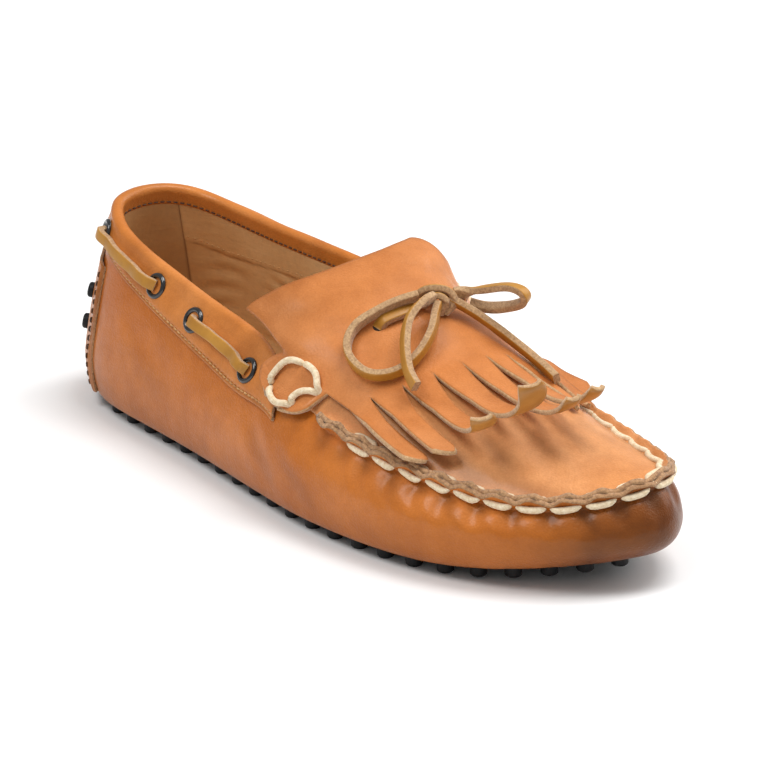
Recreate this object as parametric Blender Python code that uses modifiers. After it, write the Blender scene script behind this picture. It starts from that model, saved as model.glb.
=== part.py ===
"""Right-foot driving moccasin in leather: pebble sole, fringed kiltie, side laces and a thong bow.

The shoe stands on its studs, toe to +X and inner side to +Y, with the floor at z = 0.
The origin is the flat end of the stud at the middle of the heel.
"""
import math
from collections import namedtuple

import bmesh
import bpy
import numpy as np
from mathutils import Matrix, Vector

# Driving sizes, in metres
LENGTH = 0.280
BALL_WIDTH = 0.0964
HEEL_WIDTH = 0.0668
HEEL_HEIGHT = 0.075
TOE_HEIGHT = 0.036
INSTEP_HEIGHT = 0.081
BELLY_HEIGHT = 0.020
TOE_SPRING = 0.0088
ARCH_RISE = 0.0012
HEEL_SEAT = 0.0255

# Leather, rubber and the gap between pieces
WALL = 0.0018
GAP = 0.0003
TURN_UNDER = 0.0038
SEAM_WIDTH = 0.0036
SEAM_HEIGHT = 0.0044
PLATE = 0.0024
INSOLE = 0.003
INSOLE_FLARE = 0.0014
STUD_HEIGHT = 0.0043
STUD_RADIUS = 0.00295
STUD_PITCH = 0.0118
STUD_EDGE = 0.0042
STUD_SIDES = 8

# Collar, heel strip and laces
BAND = 0.0012
BAND_INSIDE = 0.0045
HEEL_STUD_LENGTH = 0.0022
EYELET_RADIUS = 0.0049
EYELET_HOLE = 0.0029
EYELET_HEIGHT = 0.0011
THONG_WIDTH = 0.004
THONG_THICKNESS = 0.0021
CORD_RADIUS = 0.00125
BOW_RADIUS = 0.0015

# Kiltie
KILTIE = 0.0016
KILTIE_SLIT = 0.0008
FRINGE = 0.040
FLARE = 0.0022

# The sections run from the middle of the heel (0) along the outer side to the tip of the toe (14)
TIP = 14
RIM_ROWS = 7
THROAT = 7.5
SEAM_START = 8.5
RIDGE_RAMP = 0.25
BAND_REACH = 7.25

# Widest outline: shares of LENGTH from the heel, and of the width there, which goes from
# HEEL_WIDTH (ball 0) to BALL_WIDTH (ball 1); turn is the leather turned under, of TURN_UNDER,
# and bulge is how full the wall stands above its widest line
Outline = namedtuple("Outline", "ball out_along out_side in_along in_side turn bulge")
OUTLINE = [
    Outline(0.0, 0.000, 0.000, 0.000, 0.000, 1.0, 1.15),
    Outline(0.0, 0.023, -0.247, 0.020, 0.276, 1.0, 1.15),
    Outline(0.0, 0.071, -0.418, 0.070, 0.452, 1.0, 1.2),
    Outline(0.0, 0.139, -0.506, 0.143, 0.501, 1.0, 1.3),
    Outline(0.0, 0.243, -0.558, 0.250, 0.476, 1.0, 1.5),
    Outline(0.0, 0.350, -0.618, 0.350, 0.442, 1.0, 1.5),
    Outline(0.5, 0.429, -0.553, 0.421, 0.362, 1.0, 1.5),
    Outline(1.0, 0.500, -0.501, 0.493, 0.337, 1.0, 1.7),
    Outline(1.0, 0.564, -0.525, 0.571, 0.405, 1.0, 2.0),
    Outline(1.0, 0.650, -0.527, 0.664, 0.470, 1.0, 2.0),
    Outline(1.0, 0.750, -0.498, 0.764, 0.473, 1.3, 2.0),
    Outline(1.0, 0.854, -0.400, 0.857, 0.420, 2.0, 2.0),
    Outline(1.0, 0.936, -0.233, 0.925, 0.342, 2.8, 2.0),
    Outline(1.0, 0.982, -0.073, 0.973, 0.239, 3.2, 2.0),
    Outline(1.0, 1.000, 0.093, 1.000, 0.093, 3.3, 2.0),
]

# Upper edge of the side wall: the collar rim, heights in HEEL_HEIGHT, and from row 8
# the apron seam, heights in TOE_HEIGHT; band is the depth of the collar band, in HEEL_HEIGHT
Edge = namedtuple("Edge", "out_along out_side out_up in_along in_side in_up band")
EDGE = [
    Edge(0.043, 0.015, 0.993, 0.043, 0.015, 0.993, 0.170),
    Edge(0.049, -0.127, 0.983, 0.048, 0.157, 0.991, 0.160),
    Edge(0.073, -0.232, 0.953, 0.070, 0.292, 0.973, 0.150),
    Edge(0.130, -0.322, 0.893, 0.121, 0.397, 0.930, 0.160),
    Edge(0.232, -0.367, 0.813, 0.218, 0.434, 0.887, 0.190),
    Edge(0.336, -0.404, 0.747, 0.321, 0.469, 0.853, 0.215),
    Edge(0.421, -0.368, 0.700, 0.411, 0.404, 0.807, 0.220),
    Edge(0.489, -0.379, 0.620, 0.486, 0.363, 0.693, 0.150),
    Edge(0.557, -0.420, 1.153, 0.557, 0.368, 1.264, 0.130),
    Edge(0.654, -0.425, 1.014, 0.654, 0.380, 1.111, 0.0),
    Edge(0.754, -0.384, 0.889, 0.754, 0.373, 1.000, 0.0),
    Edge(0.846, -0.306, 0.811, 0.846, 0.338, 0.931, 0.0),
    Edge(0.914, -0.182, 0.828, 0.912, 0.285, 0.931, 0.0),
    Edge(0.954, -0.036, 0.911, 0.950, 0.213, 0.958, 0.0),
    Edge(0.966, 0.093, 0.972, 0.966, 0.093, 0.972, 0.0),
]

# Instep and apron between the two edges, from row 5 on: outer shoulder, crest and inner
# shoulder, sideways in the width there and up in INSTEP_HEIGHT
FIRST_ARCH = 5
Arch = namedtuple("Arch", "out_side out_up crest_side crest_up in_side in_up")
ARCH = [
    Arch(-0.284, 0.858, 0.060, 0.957, 0.359, 0.957),
    Arch(-0.251, 0.858, 0.055, 0.960, 0.325, 0.960),
    Arch(-0.259, 0.802, 0.073, 0.972, 0.311, 0.960),
    Arch(-0.280, 0.704, 0.052, 0.895, 0.301, 0.815),
    Arch(-0.280, 0.605, 0.041, 0.741, 0.270, 0.679),
    Arch(-0.249, 0.519, 0.031, 0.617, 0.249, 0.580),
    Arch(-0.192, 0.457, 0.031, 0.522, 0.213, 0.500),
    Arch(-0.093, 0.427, 0.062, 0.464, 0.192, 0.457),
    Arch(0.010, 0.432, 0.093, 0.448, 0.161, 0.444),
    Arch(0.093, 0.432, 0.093, 0.432, 0.093, 0.432),
]

# The kiltie's slits from the outer to the inner side: share across the instep, then the
# sections where it ends at the rear and where the slit stops
Slit = namedtuple("Slit", "across rear root")
SLITS = [
    Slit(0.12, 5.90, 8.65),
    Slit(0.21, 6.10, 8.80),
    Slit(0.30, 6.35, 9.00),
    Slit(0.38, 6.58, 9.15),
    Slit(0.46, 6.80, 9.25),
    Slit(0.54, 7.00, 9.30),
    Slit(0.62, 7.05, 9.35),
    Slit(0.70, 6.90, 9.30),
    Slit(0.79, 6.45, 9.10),
    Slit(0.88, 6.00, 8.80),
]

# The strips between the slits: where the tip lies across and its half width, the length in
# FRINGE, the slope at the root and the curl at the tip in degrees, and the lift over the
# raised seam in SEAM_HEIGHT
Strip = namedtuple("Strip", "tip half reach rise curl tilt")
STRIPS = [
    Strip(0.055, 0.048, 0.90, 0.0, 8.0, 0.9),
    Strip(0.150, 0.046, 0.95, 2.0, 16.0, 0.25),
    Strip(0.245, 0.046, 1.06, 3.0, 75.0, 0.0),
    Strip(0.350, 0.050, 1.38, 5.0, 118.0, 0.0),
    Strip(0.465, 0.048, 1.20, 4.0, 55.0, 0.0),
    Strip(0.580, 0.048, 1.16, 4.0, 58.0, 0.0),
    Strip(0.700, 0.046, 0.90, 0.0, 6.0, 0.0),
    Strip(0.815, 0.046, 0.90, 0.0, 6.0, 0.1),
    Strip(0.925, 0.046, 0.86, 0.0, 8.0, 0.9),
]

# The kiltie's side tab below its edge: share across, and its rear and front section
Tab = namedtuple("Tab", "across rear front")
TAB = [
    Tab(0.06, 6.82, 8.18),
    Tab(-0.02, 6.64, 8.10),
    Tab(-0.10, 6.66, 7.92),
    Tab(-0.16, 6.85, 7.60),
]

# Eyelets along each side: section, and depth below the rim in HEEL_HEIGHT
Eyelet = namedtuple("Eyelet", "section depth")
EYELETS = [Eyelet(2.0, 0.082), Eyelet(3.8, 0.073), Eyelet(4.6, 0.091), Eyelet(6.1, 0.110)]

# The cord stitched round the side tab: section and share across
TAB_CORD = [
    (7.05, -0.08), (7.00, 0.03), (7.20, 0.11), (7.50, 0.14), (7.85, 0.15),
    (8.10, 0.12), (7.90, 0.05), (7.80, -0.04), (7.42, -0.09),
]

# The bow's routes in millimetres from the heel back, chosen by eye
OUTER_LOOP = [
    (166, 1, 75), (163, -6, 73.5), (160, -14, 70.5), (158, -21, 66.5), (161, -27, 62),
    (168, -30, 58.5), (176, -29, 56.5), (182, -22, 58), (183, -13, 63), (180, -5, 68), (176, 0, 71),
]
INNER_LOOP = [
    (171.5, 13, 74.4), (175, 17, 75.2), (182, 20.5, 77), (189, 22.5, 79), (195, 23.5, 79),
    (196, 24.5, 77), (191, 25, 73.5), (185, 23.5, 70.5), (179, 21, 69.5), (174.5, 17.5, 70.5),
]
OUTER_END = [
    (172.3, 2.2, 75.8), (173.5, -4.5, 75.6), (174.5, -10, 73), (177.5, -15, 69.4), (182, -19.5, 65),
    (188, -23.5, 60), (194, -25.5, 56.5),
]
INNER_END = [
    (176, 13, 71), (180, 16.5, 67.8), (186, 20, 63.5), (194, 22.5, 59), (202, 23.5, 55.5),
    (213, 22, 52.5),
]
KNOT_AT = (169, 7, 73.8)
KNOT_SIZE = (12.5, 11.0, 7.8)
KNOT_SLOPE = 20.0
KNOT_TURN = 0.0

# Heel patch: reach in sections to each side, and its top below the rim in
# HEEL_HEIGHT; its studs by section, and their heights in HEEL_HEIGHT
STRIP_REACH = 2.2
STRIP_TOP = 0.235
HEEL_STUD_SECTIONS = (1.2, 0.4, -0.4, -1.2)
HEEL_STUD_HEIGHTS = (0.53, 0.37)

BELLY = 0.3
RIB_LEVELS = (0.0, 0.1, 0.2, 0.3, 0.44, 0.58, 0.72, 0.86, 1.0)
APRON_COLUMNS = 8


def spline(rows, closed=False):
    """A cubic spline through evenly numbered rows, as a function of the row number."""
    rows = np.asarray(rows, float)
    count = len(rows)
    system = 4.0 * np.eye(count) + np.eye(count, k=1) + np.eye(count, k=-1)
    if closed:
        system[0, -1] = system[-1, 0] = 1.0
        change = 3.0 * (np.roll(rows, -1, 0) - np.roll(rows, 1, 0))
    else:
        system[0, 0] = system[-1, -1] = 2.0
        padded = np.vstack([rows[:1], rows, rows[-1:]])
        change = 3.0 * (padded[2:] - padded[:-2])
    slopes = np.linalg.solve(system, change)

    def at(number):
        if closed:
            number %= count
        first = min(max(int(math.floor(number)), 0), count - (1 if closed else 2))
        second = (first + 1) % count
        r = number - first
        step = rows[second] - rows[first]
        bend = slopes[first] * (1 - r) ** 2 * r - slopes[second] * r ** 2 * (1 - r)
        return rows[first] + step * r * r * (3 - 2 * r) + bend

    return at


def around(outer, inner):
    """Rows of the outer side from heel to toe, then of the inner side back to the heel."""
    return list(outer) + list(inner[-2:0:-1])


def width(ball):
    return HEEL_WIDTH + (BALL_WIDTH - HEEL_WIDTH) * ball


def edge_height(row):
    return HEEL_HEIGHT if row <= RIM_ROWS else TOE_HEIGHT


def form_splines():
    outer = [(o.out_along * LENGTH, o.out_side * width(o.ball), o.turn, o.bulge) for o in OUTLINE]
    inner = [(o.in_along * LENGTH, o.in_side * width(o.ball), o.turn, o.bulge) for o in OUTLINE]
    outline = spline(around(outer, inner), closed=True)
    outer, inner = [], []
    for row, (e, o) in enumerate(zip(EDGE, OUTLINE)):
        wide, high, band = width(o.ball), edge_height(row), e.band * HEEL_HEIGHT
        outer.append((e.out_along * LENGTH, e.out_side * wide, e.out_up * high, band))
        inner.append((e.in_along * LENGTH, e.in_side * wide, e.in_up * high, band))
    edge = spline(around(outer, inner), closed=True)
    arches = []
    for a, o in zip(ARCH, OUTLINE[FIRST_ARCH:]):
        wide = width(o.ball)
        arches.append((
            a.out_side * wide, a.out_up * INSTEP_HEIGHT,
            a.crest_side * wide, a.crest_up * INSTEP_HEIGHT,
            a.in_side * wide, a.in_up * INSTEP_HEIGHT,
        ))
    return outline, edge, spline(arches)


OUTLINE_AT, EDGE_AT, ARCH_AT = form_splines()


def ground(along, across):
    """Height of the leather's underside, with the toe spring and the arch."""
    toe = max(0.0, (along / LENGTH - 0.74) / 0.26)
    waist = min(1.0, abs(along / LENGTH - 0.42) / 0.16)
    inner = min(1.0, max(0.0, 0.5 + across / HEEL_WIDTH))
    arch = ARCH_RISE * math.cos(0.5 * math.pi * waist) ** 2 * inner
    return STUD_HEIGHT + TOE_SPRING * toe ** 2 + arch


def placed(along, across, up):
    return Vector((along - HEEL_SEAT, across, up))


def edge_point(u):
    along, across, up, _ = EDGE_AT(u)
    return placed(along, across, up)


def base_point(u, inset, rise=0.0):
    """A point under the outline at section u, moved in by inset and up from the underside."""
    along, across, _, _ = OUTLINE_AT(u)
    step = OUTLINE_AT(u + 0.05) - OUTLINE_AT(u - 0.05)
    size = math.hypot(step[0], step[1])
    along -= step[1] / size * inset
    across += step[0] / size * inset
    return placed(along, across, ground(along, across) + rise)


def turn_at(u):
    return OUTLINE_AT(u)[2] * TURN_UNDER


def side(u, v):
    """The outer face of the side wall: v is 0 at the bottom edge and 1 at the top edge."""
    foot = base_point(u, turn_at(u))
    along, across, _, bulge = OUTLINE_AT(u)
    belly = placed(along, across, BELLY_HEIGHT)
    if v <= BELLY:
        turn = 0.5 * math.pi * v / BELLY
        out, up = math.sin(turn), 1.0 - math.cos(turn)
        flat = foot.lerp(belly, out)
        return Vector((flat.x, flat.y, foot.z + (belly.z - foot.z) * up))
    rise = (v - BELLY) / (1.0 - BELLY)
    top = edge_point(u)
    flat = belly.lerp(top, rise ** bulge)
    return Vector((flat.x, flat.y, belly.z + (top.z - belly.z) * rise))


def apron(u, t):
    """The instep and apron at section u: t is 0 at the outer edge and 1 at the inner edge."""
    outer, inner = edge_point(u), edge_point(2 * TIP - u)
    o_side, o_up, c_side, c_up, i_side, i_up = ARCH_AT(u - FIRST_ARCH)
    rows = [(outer.y, outer.z), (o_side, o_up), (c_side, c_up), (i_side, i_up), (inner.y, inner.z)]
    across, up = spline(rows)(4.0 * t)
    return Vector((outer.x + (inner.x - outer.x) * t, across, up))


def skin(u, a):
    """The whole form at section u: a is below 0 on the outer wall and above 1 on the inner."""
    if a < 0.0:
        return side(u, 1.0 + a)
    if a > 1.0:
        return side(2 * TIP - u, 2.0 - a)
    return apron(u, a)


def facing(surface, u, a, reach=0.03):
    along = surface(u + reach, a) - surface(u - reach, a)
    across = surface(u, a + reach) - surface(u, a - reach)
    return along.cross(across).normalized()


def side_facing(u, v):
    reach = 0.02
    along = side(u + 0.05, v) - side(u - 0.05, v)
    upward = side(u, min(1.0, v + reach)) - side(u, max(0.0, v - reach))
    return along.cross(upward).normalized()


def level_below_rim(u, depth):
    """The wall level v that lies depth below the top edge."""
    top, belly = edge_point(u).z, side(u, BELLY).z
    return 1.0 - (1.0 - BELLY) * depth / (top - belly)


def on_side(u, v, lift):
    return side(u, v) + side_facing(u, v) * lift


def material(name, colour, roughness, metallic=0.0):
    made = bpy.data.materials.new(name)
    made.use_nodes = True
    shader = made.node_tree.nodes["Principled BSDF"]
    shader.inputs["Base Color"].default_value = (*colour, 1.0)
    shader.inputs["Roughness"].default_value = roughness
    shader.inputs["Metallic"].default_value = metallic
    return made


def add_object(name, mesh, finish, collection):
    mesh.materials.clear()
    mesh.materials.append(finish)
    thing = bpy.data.objects.new(name, mesh)
    collection.objects.link(thing)
    return thing


def solid(name, points, faces, finish, collection):
    """A closed mesh from points and faces, turned to face outwards."""
    mesh = bpy.data.meshes.new(name)
    mesh.from_pydata([tuple(p) for p in points], [], faces)
    shape = bmesh.new()
    shape.from_mesh(mesh)
    bmesh.ops.recalc_face_normals(shape, faces=shape.faces)
    shape.to_mesh(mesh)
    shape.free()
    mesh.shade_smooth()
    mesh.set_sharp_from_angle(angle=math.radians(40))
    return add_object(name, mesh, finish, collection)


def loft(name, rings, finish, collection, closed=False):
    """A solid through rings of equal count, capped at its ends unless it closes on itself."""
    count = len(rings[0])
    points = [p for ring in rings for p in ring]
    faces = []
    spans = len(rings) if closed else len(rings) - 1
    for i in range(spans):
        here, there = i * count, (i + 1) % len(rings) * count
        for j in range(count):
            k = (j + 1) % count
            faces.append((here + j, here + k, there + k, there + j))
    if not closed:
        faces.append(tuple(range(count)))
        faces.append(tuple(range(len(points) - count, len(points))))
    return solid(name, points, faces, finish, collection)


def rib_numbers():
    """Two ribs to a section all round, and one more where the band ends and the seam starts."""
    halves = [k / 2 for k in range(4 * TIP)]
    extra = [BAND_REACH, SEAM_START - RIDGE_RAMP]
    return sorted(halves + extra + [2 * TIP - u for u in extra])


def seam_profile(u):
    """The raised seam at section u: outer foot, outer lip, inner lip and inner foot."""
    top = edge_point(u)
    pair = u if u <= TIP else 2 * TIP - u
    if pair > TIP - 0.25:
        inward = apron(TIP - 0.5, 0.5) - top
    else:
        t = 0.08 if u < TIP else 0.92
        inward = apron(pair, t) - top
    outward = side(u, 0.9) - top
    out_foot = top + outward.normalized() * SEAM_WIDTH / 2
    in_foot = top + inward.normalized() * SEAM_WIDTH / 2
    up = seam_facing(u)
    narrow = (in_foot - out_foot) * 0.12
    return [out_foot, out_foot + up * SEAM_HEIGHT + narrow, in_foot + up * SEAM_HEIGHT - narrow, in_foot]


def seam_facing(u):
    wall = side_facing(u, 1.0)
    pair = min(u if u <= TIP else 2 * TIP - u, TIP - 0.3)
    near = 0.06 if u <= TIP else 0.94
    return (wall + facing(apron, pair, near)).normalized()


def build_upper(finish, collection):
    """Side wall and apron as one shell, with the seam between them raised as a step."""
    points, faces = [], []

    def put(point):
        points.append(point)
        return len(points) - 1

    ribs = rib_numbers()
    outer, inner, ridge = {}, {}, {}
    for u in ribs:
        seamed = THROAT <= u <= 2 * TIP - THROAT
        raised = SEAM_START <= u <= 2 * TIP - SEAM_START
        levels = RIB_LEVELS[:-1]
        outer[u] = [put(side(u, v)) for v in levels]
        inner[u] = [put(base_point(u, turn_at(u), WALL))]
        inner[u] += [put(on_side(u, v, -WALL)) for v in levels[1:]]
        inner_edge = edge_point(u) - (
            seam_facing(u) * 1.3 * WALL if seamed else side_facing(u, 1.0) * WALL
        )
        inner[u].append(put(inner_edge))
        if raised:
            ridge[u] = [put(p) for p in seam_profile(u)]
        else:
            ridge[u] = [put(edge_point(u))] * 4
    pairs = [u for u in ribs if THROAT <= u < TIP]
    outer_rows, inner_rows = {}, {}
    for u in pairs:
        mirror = 2 * TIP - u
        span = (edge_point(u) - edge_point(mirror)).length
        edge_share = 0.5 * SEAM_WIDTH / span if u >= SEAM_START else 0.0
        shares = [
            edge_share + (1 - 2 * edge_share) * j / APRON_COLUMNS for j in range(1, APRON_COLUMNS)
        ]
        outer_rows[u] = [ridge[u][3]] + [put(apron(u, t)) for t in shares] + [ridge[mirror][3]]
        under = [put(apron(u, t) - facing(apron, u, t) * WALL) for t in shares]
        inner_rows[u] = [inner[u][-1]] + under + [inner[mirror][-1]]

    def strip(first, second):
        for j in range(len(first) - 1):
            corners = [first[j], first[j + 1], second[j + 1], second[j]]
            kept = [c for i, c in enumerate(corners) if c != corners[i - 1]]
            if len(set(kept)) > 2:
                faces.append(tuple(kept))

    for i, u in enumerate(ribs):
        after = ribs[(i + 1) % len(ribs)]
        strip(outer[u] + [ridge[u][0]], outer[after] + [ridge[after][0]])
        strip(inner[u], inner[after])
        strip(ridge[u], ridge[after])
        strip([outer[u][0], inner[u][0]], [outer[after][0], inner[after][0]])
        if not THROAT <= u < 2 * TIP - THROAT:
            strip([ridge[u][0], inner[u][-1]], [ridge[after][0], inner[after][-1]])
    for u, after in zip(pairs, pairs[1:]):
        strip(outer_rows[u], outer_rows[after])
        strip(inner_rows[u], inner_rows[after])
    last = pairs[-1]
    strip(outer_rows[last], [ridge[TIP][3]] * (APRON_COLUMNS + 1))
    strip(inner_rows[last], [inner[TIP][-1]] * (APRON_COLUMNS + 1))
    strip(outer_rows[THROAT], inner_rows[THROAT])
    return solid("upper", points, faces, finish, collection)


def sole_sheet(name, low_inset, high_inset, low, high, finish, collection):
    """A flat layer inside the upper: its outline at low and high above the underside."""
    points, faces = [], []
    columns = 4
    pairs = [u for u in rib_numbers() if 0 < u < TIP]

    def layer(inset, rise):
        def put(point):
            points.append(point)
            return len(points) - 1

        rows = []
        for u in pairs:
            left = base_point(u, turn_at(u) + inset)
            right = base_point(2 * TIP - u, turn_at(2 * TIP - u) + inset)
            row = []
            for j in range(columns + 1):
                p = left.lerp(right, j / columns)
                row.append(put(Vector((p.x, p.y, ground(p.x + HEEL_SEAT, p.y) + rise))))
            rows.append(row)
        heel = put(base_point(0, turn_at(0) + inset, rise))
        toe = put(base_point(TIP, turn_at(TIP) + inset, rise))
        for row, after in zip(rows, rows[1:]):
            for j in range(columns):
                faces.append((row[j], row[j + 1], after[j + 1], after[j]))
        for j in range(columns):
            faces.append((heel, rows[0][j + 1], rows[0][j]))
            faces.append((toe, rows[-1][j], rows[-1][j + 1]))
        return [heel] + [r[0] for r in rows] + [toe] + [r[-1] for r in rows[::-1]]

    below = layer(low_inset, low)
    above = layer(high_inset, high)
    for i in range(len(below)):
        k = (i + 1) % len(below)
        faces.append((below[i], below[k], above[k], above[i]))
    return solid(name, points, faces, finish, collection)


def inside(loop, x, y):
    """Whether (x, y) lies inside a closed loop of points."""
    within = False
    for p, q in zip(loop, loop[1:] + loop[:1]):
        if (p.y > y) != (q.y > y) and x < p.x + (q.x - p.x) * (y - p.y) / (q.y - p.y):
            within = not within
    return within


def stud_places():
    """A row of studs round the edge, and a staggered field inside it from the heel seat."""
    fine = [base_point(k / 8, turn_at(k / 8) + STUD_EDGE) for k in range(16 * TIP)]
    for p in fine:
        p.z = 0.0
    steps = [(q - p).length for p, q in zip(fine, fine[1:] + fine[:1])]
    count = round(sum(steps) / STUD_PITCH)
    places, walked, k = [], 0.0, 0
    for n in range(count):
        target = n * sum(steps) / count
        while walked + steps[k] < target:
            walked += steps[k]
            k += 1
        places.append(fine[k].lerp(fine[(k + 1) % len(fine)], (target - walked) / steps[k]))
    row_gap = STUD_PITCH * 1.06
    rows = int(LENGTH / row_gap) + 1
    columns = int(BALL_WIDTH / STUD_PITCH) + 1
    for i in range(-2, rows):
        for j in range(-columns, columns + 1):
            x, y = i * row_gap, (j + 0.5 * (i % 2)) * row_gap
            near = min((p - Vector((x, y, 0.0))).length for p in fine)
            if inside(fine, x, y) and near > 0.82 * STUD_PITCH:
                places.append(Vector((x, y, 0.0)))
    return places


def build_sole(finish, collection, cutters):
    """The rubber plate that closes the upper underneath, with its studs joined on."""
    plate = sole_sheet("sole", GAP, GAP, 0.0, PLATE, finish, collection)
    shape = bmesh.new()
    embedded = 0.4 * PLATE
    for place in stud_places():
        base = ground(place.x + HEEL_SEAT, place.y)
        bmesh.ops.create_cone(
            shape, cap_ends=True, segments=STUD_SIDES,
            radius1=0.9 * STUD_RADIUS, radius2=STUD_RADIUS, depth=STUD_HEIGHT + embedded,
            matrix=Matrix.Translation((place.x, place.y, base + (embedded - STUD_HEIGHT) / 2)),
        )
    mesh = bpy.data.meshes.new("studs")
    shape.to_mesh(mesh)
    shape.free()
    studs = bpy.data.objects.new("studs", mesh)
    cutters.objects.link(studs)
    studs.hide_render = True
    studs.display_type = "WIRE"
    joined = plate.modifiers.new("studs", "BOOLEAN")
    joined.operation = "UNION"
    joined.solver = "EXACT"
    joined.object = studs
    return plate


def build_insole(finish, collection):
    low = PLATE + GAP
    return sole_sheet(
        "insole", 2 * GAP, 2 * GAP - INSOLE_FLARE, low, low + INSOLE, finish, collection
    )


def smooth(x):
    x = min(1.0, max(0.0, x))
    return x * x * (3 - 2 * x)


def build_band(finish, collection):
    """The collar band: up the outside from its stitched edge, over the rim and a little inside."""
    rings = []
    halves = [k / 2 for k in range(-int(2 * BAND_REACH), int(2 * BAND_REACH) + 1)]
    for u in [-BAND_REACH] + halves + [BAND_REACH]:
        depth = EDGE_AT(u)[3]
        low = level_below_rim(u, depth)
        near, far = GAP, GAP + BAND
        out, back = [], []
        for share in (0.0, 0.33, 0.67):
            v = low + (1.0 - low) * share
            out.append(on_side(u, v, far))
            back.append(on_side(u, v, near))
        facing_out = side_facing(u, 1.0)
        up = (side(u, 1.0) - side(u, 0.97)).normalized()
        centre = edge_point(u) - facing_out * WALL / 2
        for turn in (0.0, 60.0, 120.0, 180.0):
            way = facing_out * math.cos(math.radians(turn)) + up * math.sin(math.radians(turn))
            out.append(centre + way * (WALL / 2 + far))
            back.append(centre + way * (WALL / 2 + near))
        end = level_below_rim(u, BAND_INSIDE)
        out.append(on_side(u, end, -WALL - far))
        back.append(on_side(u, end, -WALL - near))
        rings.append(out + back[::-1])
    return loft("collar_band", rings, finish, collection)


def build_heel_strip(finish, collection):
    """The patch up the back of the heel, from the sole edge to just under the collar band."""
    rings = []
    halves = [k / 2 for k in range(-int(2 * STRIP_REACH), int(2 * STRIP_REACH) + 1)]
    for u in [-STRIP_REACH] + halves + [STRIP_REACH]:
        top = level_below_rim(u, STRIP_TOP * HEEL_HEIGHT)
        levels = [0.1, 0.2] + [BELLY + (top - BELLY) * j / 4 for j in range(5)]
        out = [on_side(u, v, GAP + BAND) for v in levels]
        back = [on_side(u, v, GAP) for v in levels]
        rings.append(out + back[::-1])
    return loft("heel_strip", rings, finish, collection)


def turned_to(point, facing_out, along):
    """A matrix at point with its Z along facing_out."""
    z = facing_out.normalized()
    y = z.cross(along).normalized()
    x = y.cross(z)
    return Matrix.Translation(point) @ Matrix((x, y, z)).transposed().to_4x4()


def build_heel_studs(finish, collection):
    number = 0
    for height in HEEL_STUD_HEIGHTS:
        for u in HEEL_STUD_SECTIONS:
            number += 1
            v = level_below_rim(u, edge_point(u).z - height * HEEL_HEIGHT)
            facing_out = side_facing(u, v)
            base = on_side(u, v, 2 * GAP + BAND)
            shape = bmesh.new()
            bmesh.ops.create_cone(
                shape, cap_ends=True, segments=STUD_SIDES,
                radius1=STUD_RADIUS, radius2=0.9 * STUD_RADIUS, depth=HEEL_STUD_LENGTH,
                matrix=Matrix.Translation((0, 0, HEEL_STUD_LENGTH / 2)),
            )
            mesh = bpy.data.meshes.new("heel_stud")
            shape.to_mesh(mesh)
            shape.free()
            stud = add_object(f"heel_stud_{number}", mesh, finish, collection)
            stud.matrix_world = turned_to(base, facing_out, Vector((0, 0, 1)))


def eyelet_spots(inner):
    """Section and level of each eyelet on one side of the collar."""
    spots = []
    for eyelet in EYELETS:
        u = -eyelet.section if inner else eyelet.section
        spots.append((u, level_below_rim(u, eyelet.depth * HEEL_HEIGHT)))
    return spots


def build_eyelets(finish, collection):
    """Turned rings on the collar band, four to a side."""
    low, high = EYELET_HOLE, EYELET_RADIUS
    profile = [(high, 0.0), (high - 0.0006, EYELET_HEIGHT), (low + 0.0004, EYELET_HEIGHT), (low, 0.0)]
    mesh = bpy.data.meshes.new("eyelet")
    corners = [(x, 0.0, z) for x, z in profile[::-1]]
    mesh.from_pydata(corners, [(0, 1), (1, 2), (2, 3), (3, 0)], [])
    for side_name in ("outer", "inner"):
        for number, (u, v) in enumerate(eyelet_spots(side_name == "inner"), 1):
            ring = add_object(f"eyelet_{side_name}_{number}", mesh, finish, collection)
            spot = on_side(u, v, 2 * GAP + BAND)
            ring.matrix_world = turned_to(spot, side_facing(u, v), Vector((0, 0, 1)))
            spin = ring.modifiers.new("turned", "SCREW")
            spin.steps = spin.render_steps = 10
            spin.use_merge_vertices = True
            spin.merge_threshold = 0.00001


def ribbon(name, spots, wide, thick, finish, collection, closed=False):
    """A flat thong through spots of centre and facing."""
    rings = []
    count = len(spots)
    for k, (point, facing_out) in enumerate(spots):
        before = spots[(k - 1) % count if closed else max(0, k - 1)][0]
        after = spots[(k + 1) % count if closed else min(count - 1, k + 1)][0]
        across = (after - before).cross(facing_out).normalized() * wide / 2
        up = facing_out * thick / 2
        rings.append([point - across - up, point + across - up, point + across + up, point - across + up])
    return loft(name, rings, finish, collection, closed)


def build_side_laces(finish, collection):
    """The thong that shows between the first and second and the third and fourth eyelet."""
    over_band = 2 * GAP + BAND + THONG_THICKNESS / 2
    over_eyelet = over_band + EYELET_HEIGHT + 3 * GAP
    for side_name in ("outer", "inner"):
        spots = eyelet_spots(side_name == "inner")
        for number, (start, end) in enumerate((spots[:2], spots[2:]), 1):
            path = []
            for k in range(9):
                share = k / 8
                u = start[0] + (end[0] - start[0]) * share
                v = start[1] + (end[1] - start[1]) * share
                level = 4.0 * min(share, 1 - share)
                lift = over_eyelet + (over_band - over_eyelet) * smooth(level * 1.4 - 0.6)
                path.append((on_side(u, v, lift), side_facing(u, v)))
            ribbon(f"lace_{side_name}_{number}", path, THONG_WIDTH, THONG_THICKNESS, finish, collection)


def kiltie_lift(u, a):
    """Height of the kiltie's middle over the form: higher over the collar band at its edges."""
    edge = 1.0 - smooth((min(a, 1.0 - a) + 0.02) / 0.12)
    rear = 1.0 - smooth((u - 5.9) / 1.2)
    lobe = math.exp(-((u - 7.2) / 0.5) ** 2 - ((a - 0.74) / 0.10) ** 2)
    over_band = GAP + BAND
    return GAP + KILTIE / 2 + 0.0002 + edge * over_band + rear * FLARE + lobe * FLARE


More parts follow.
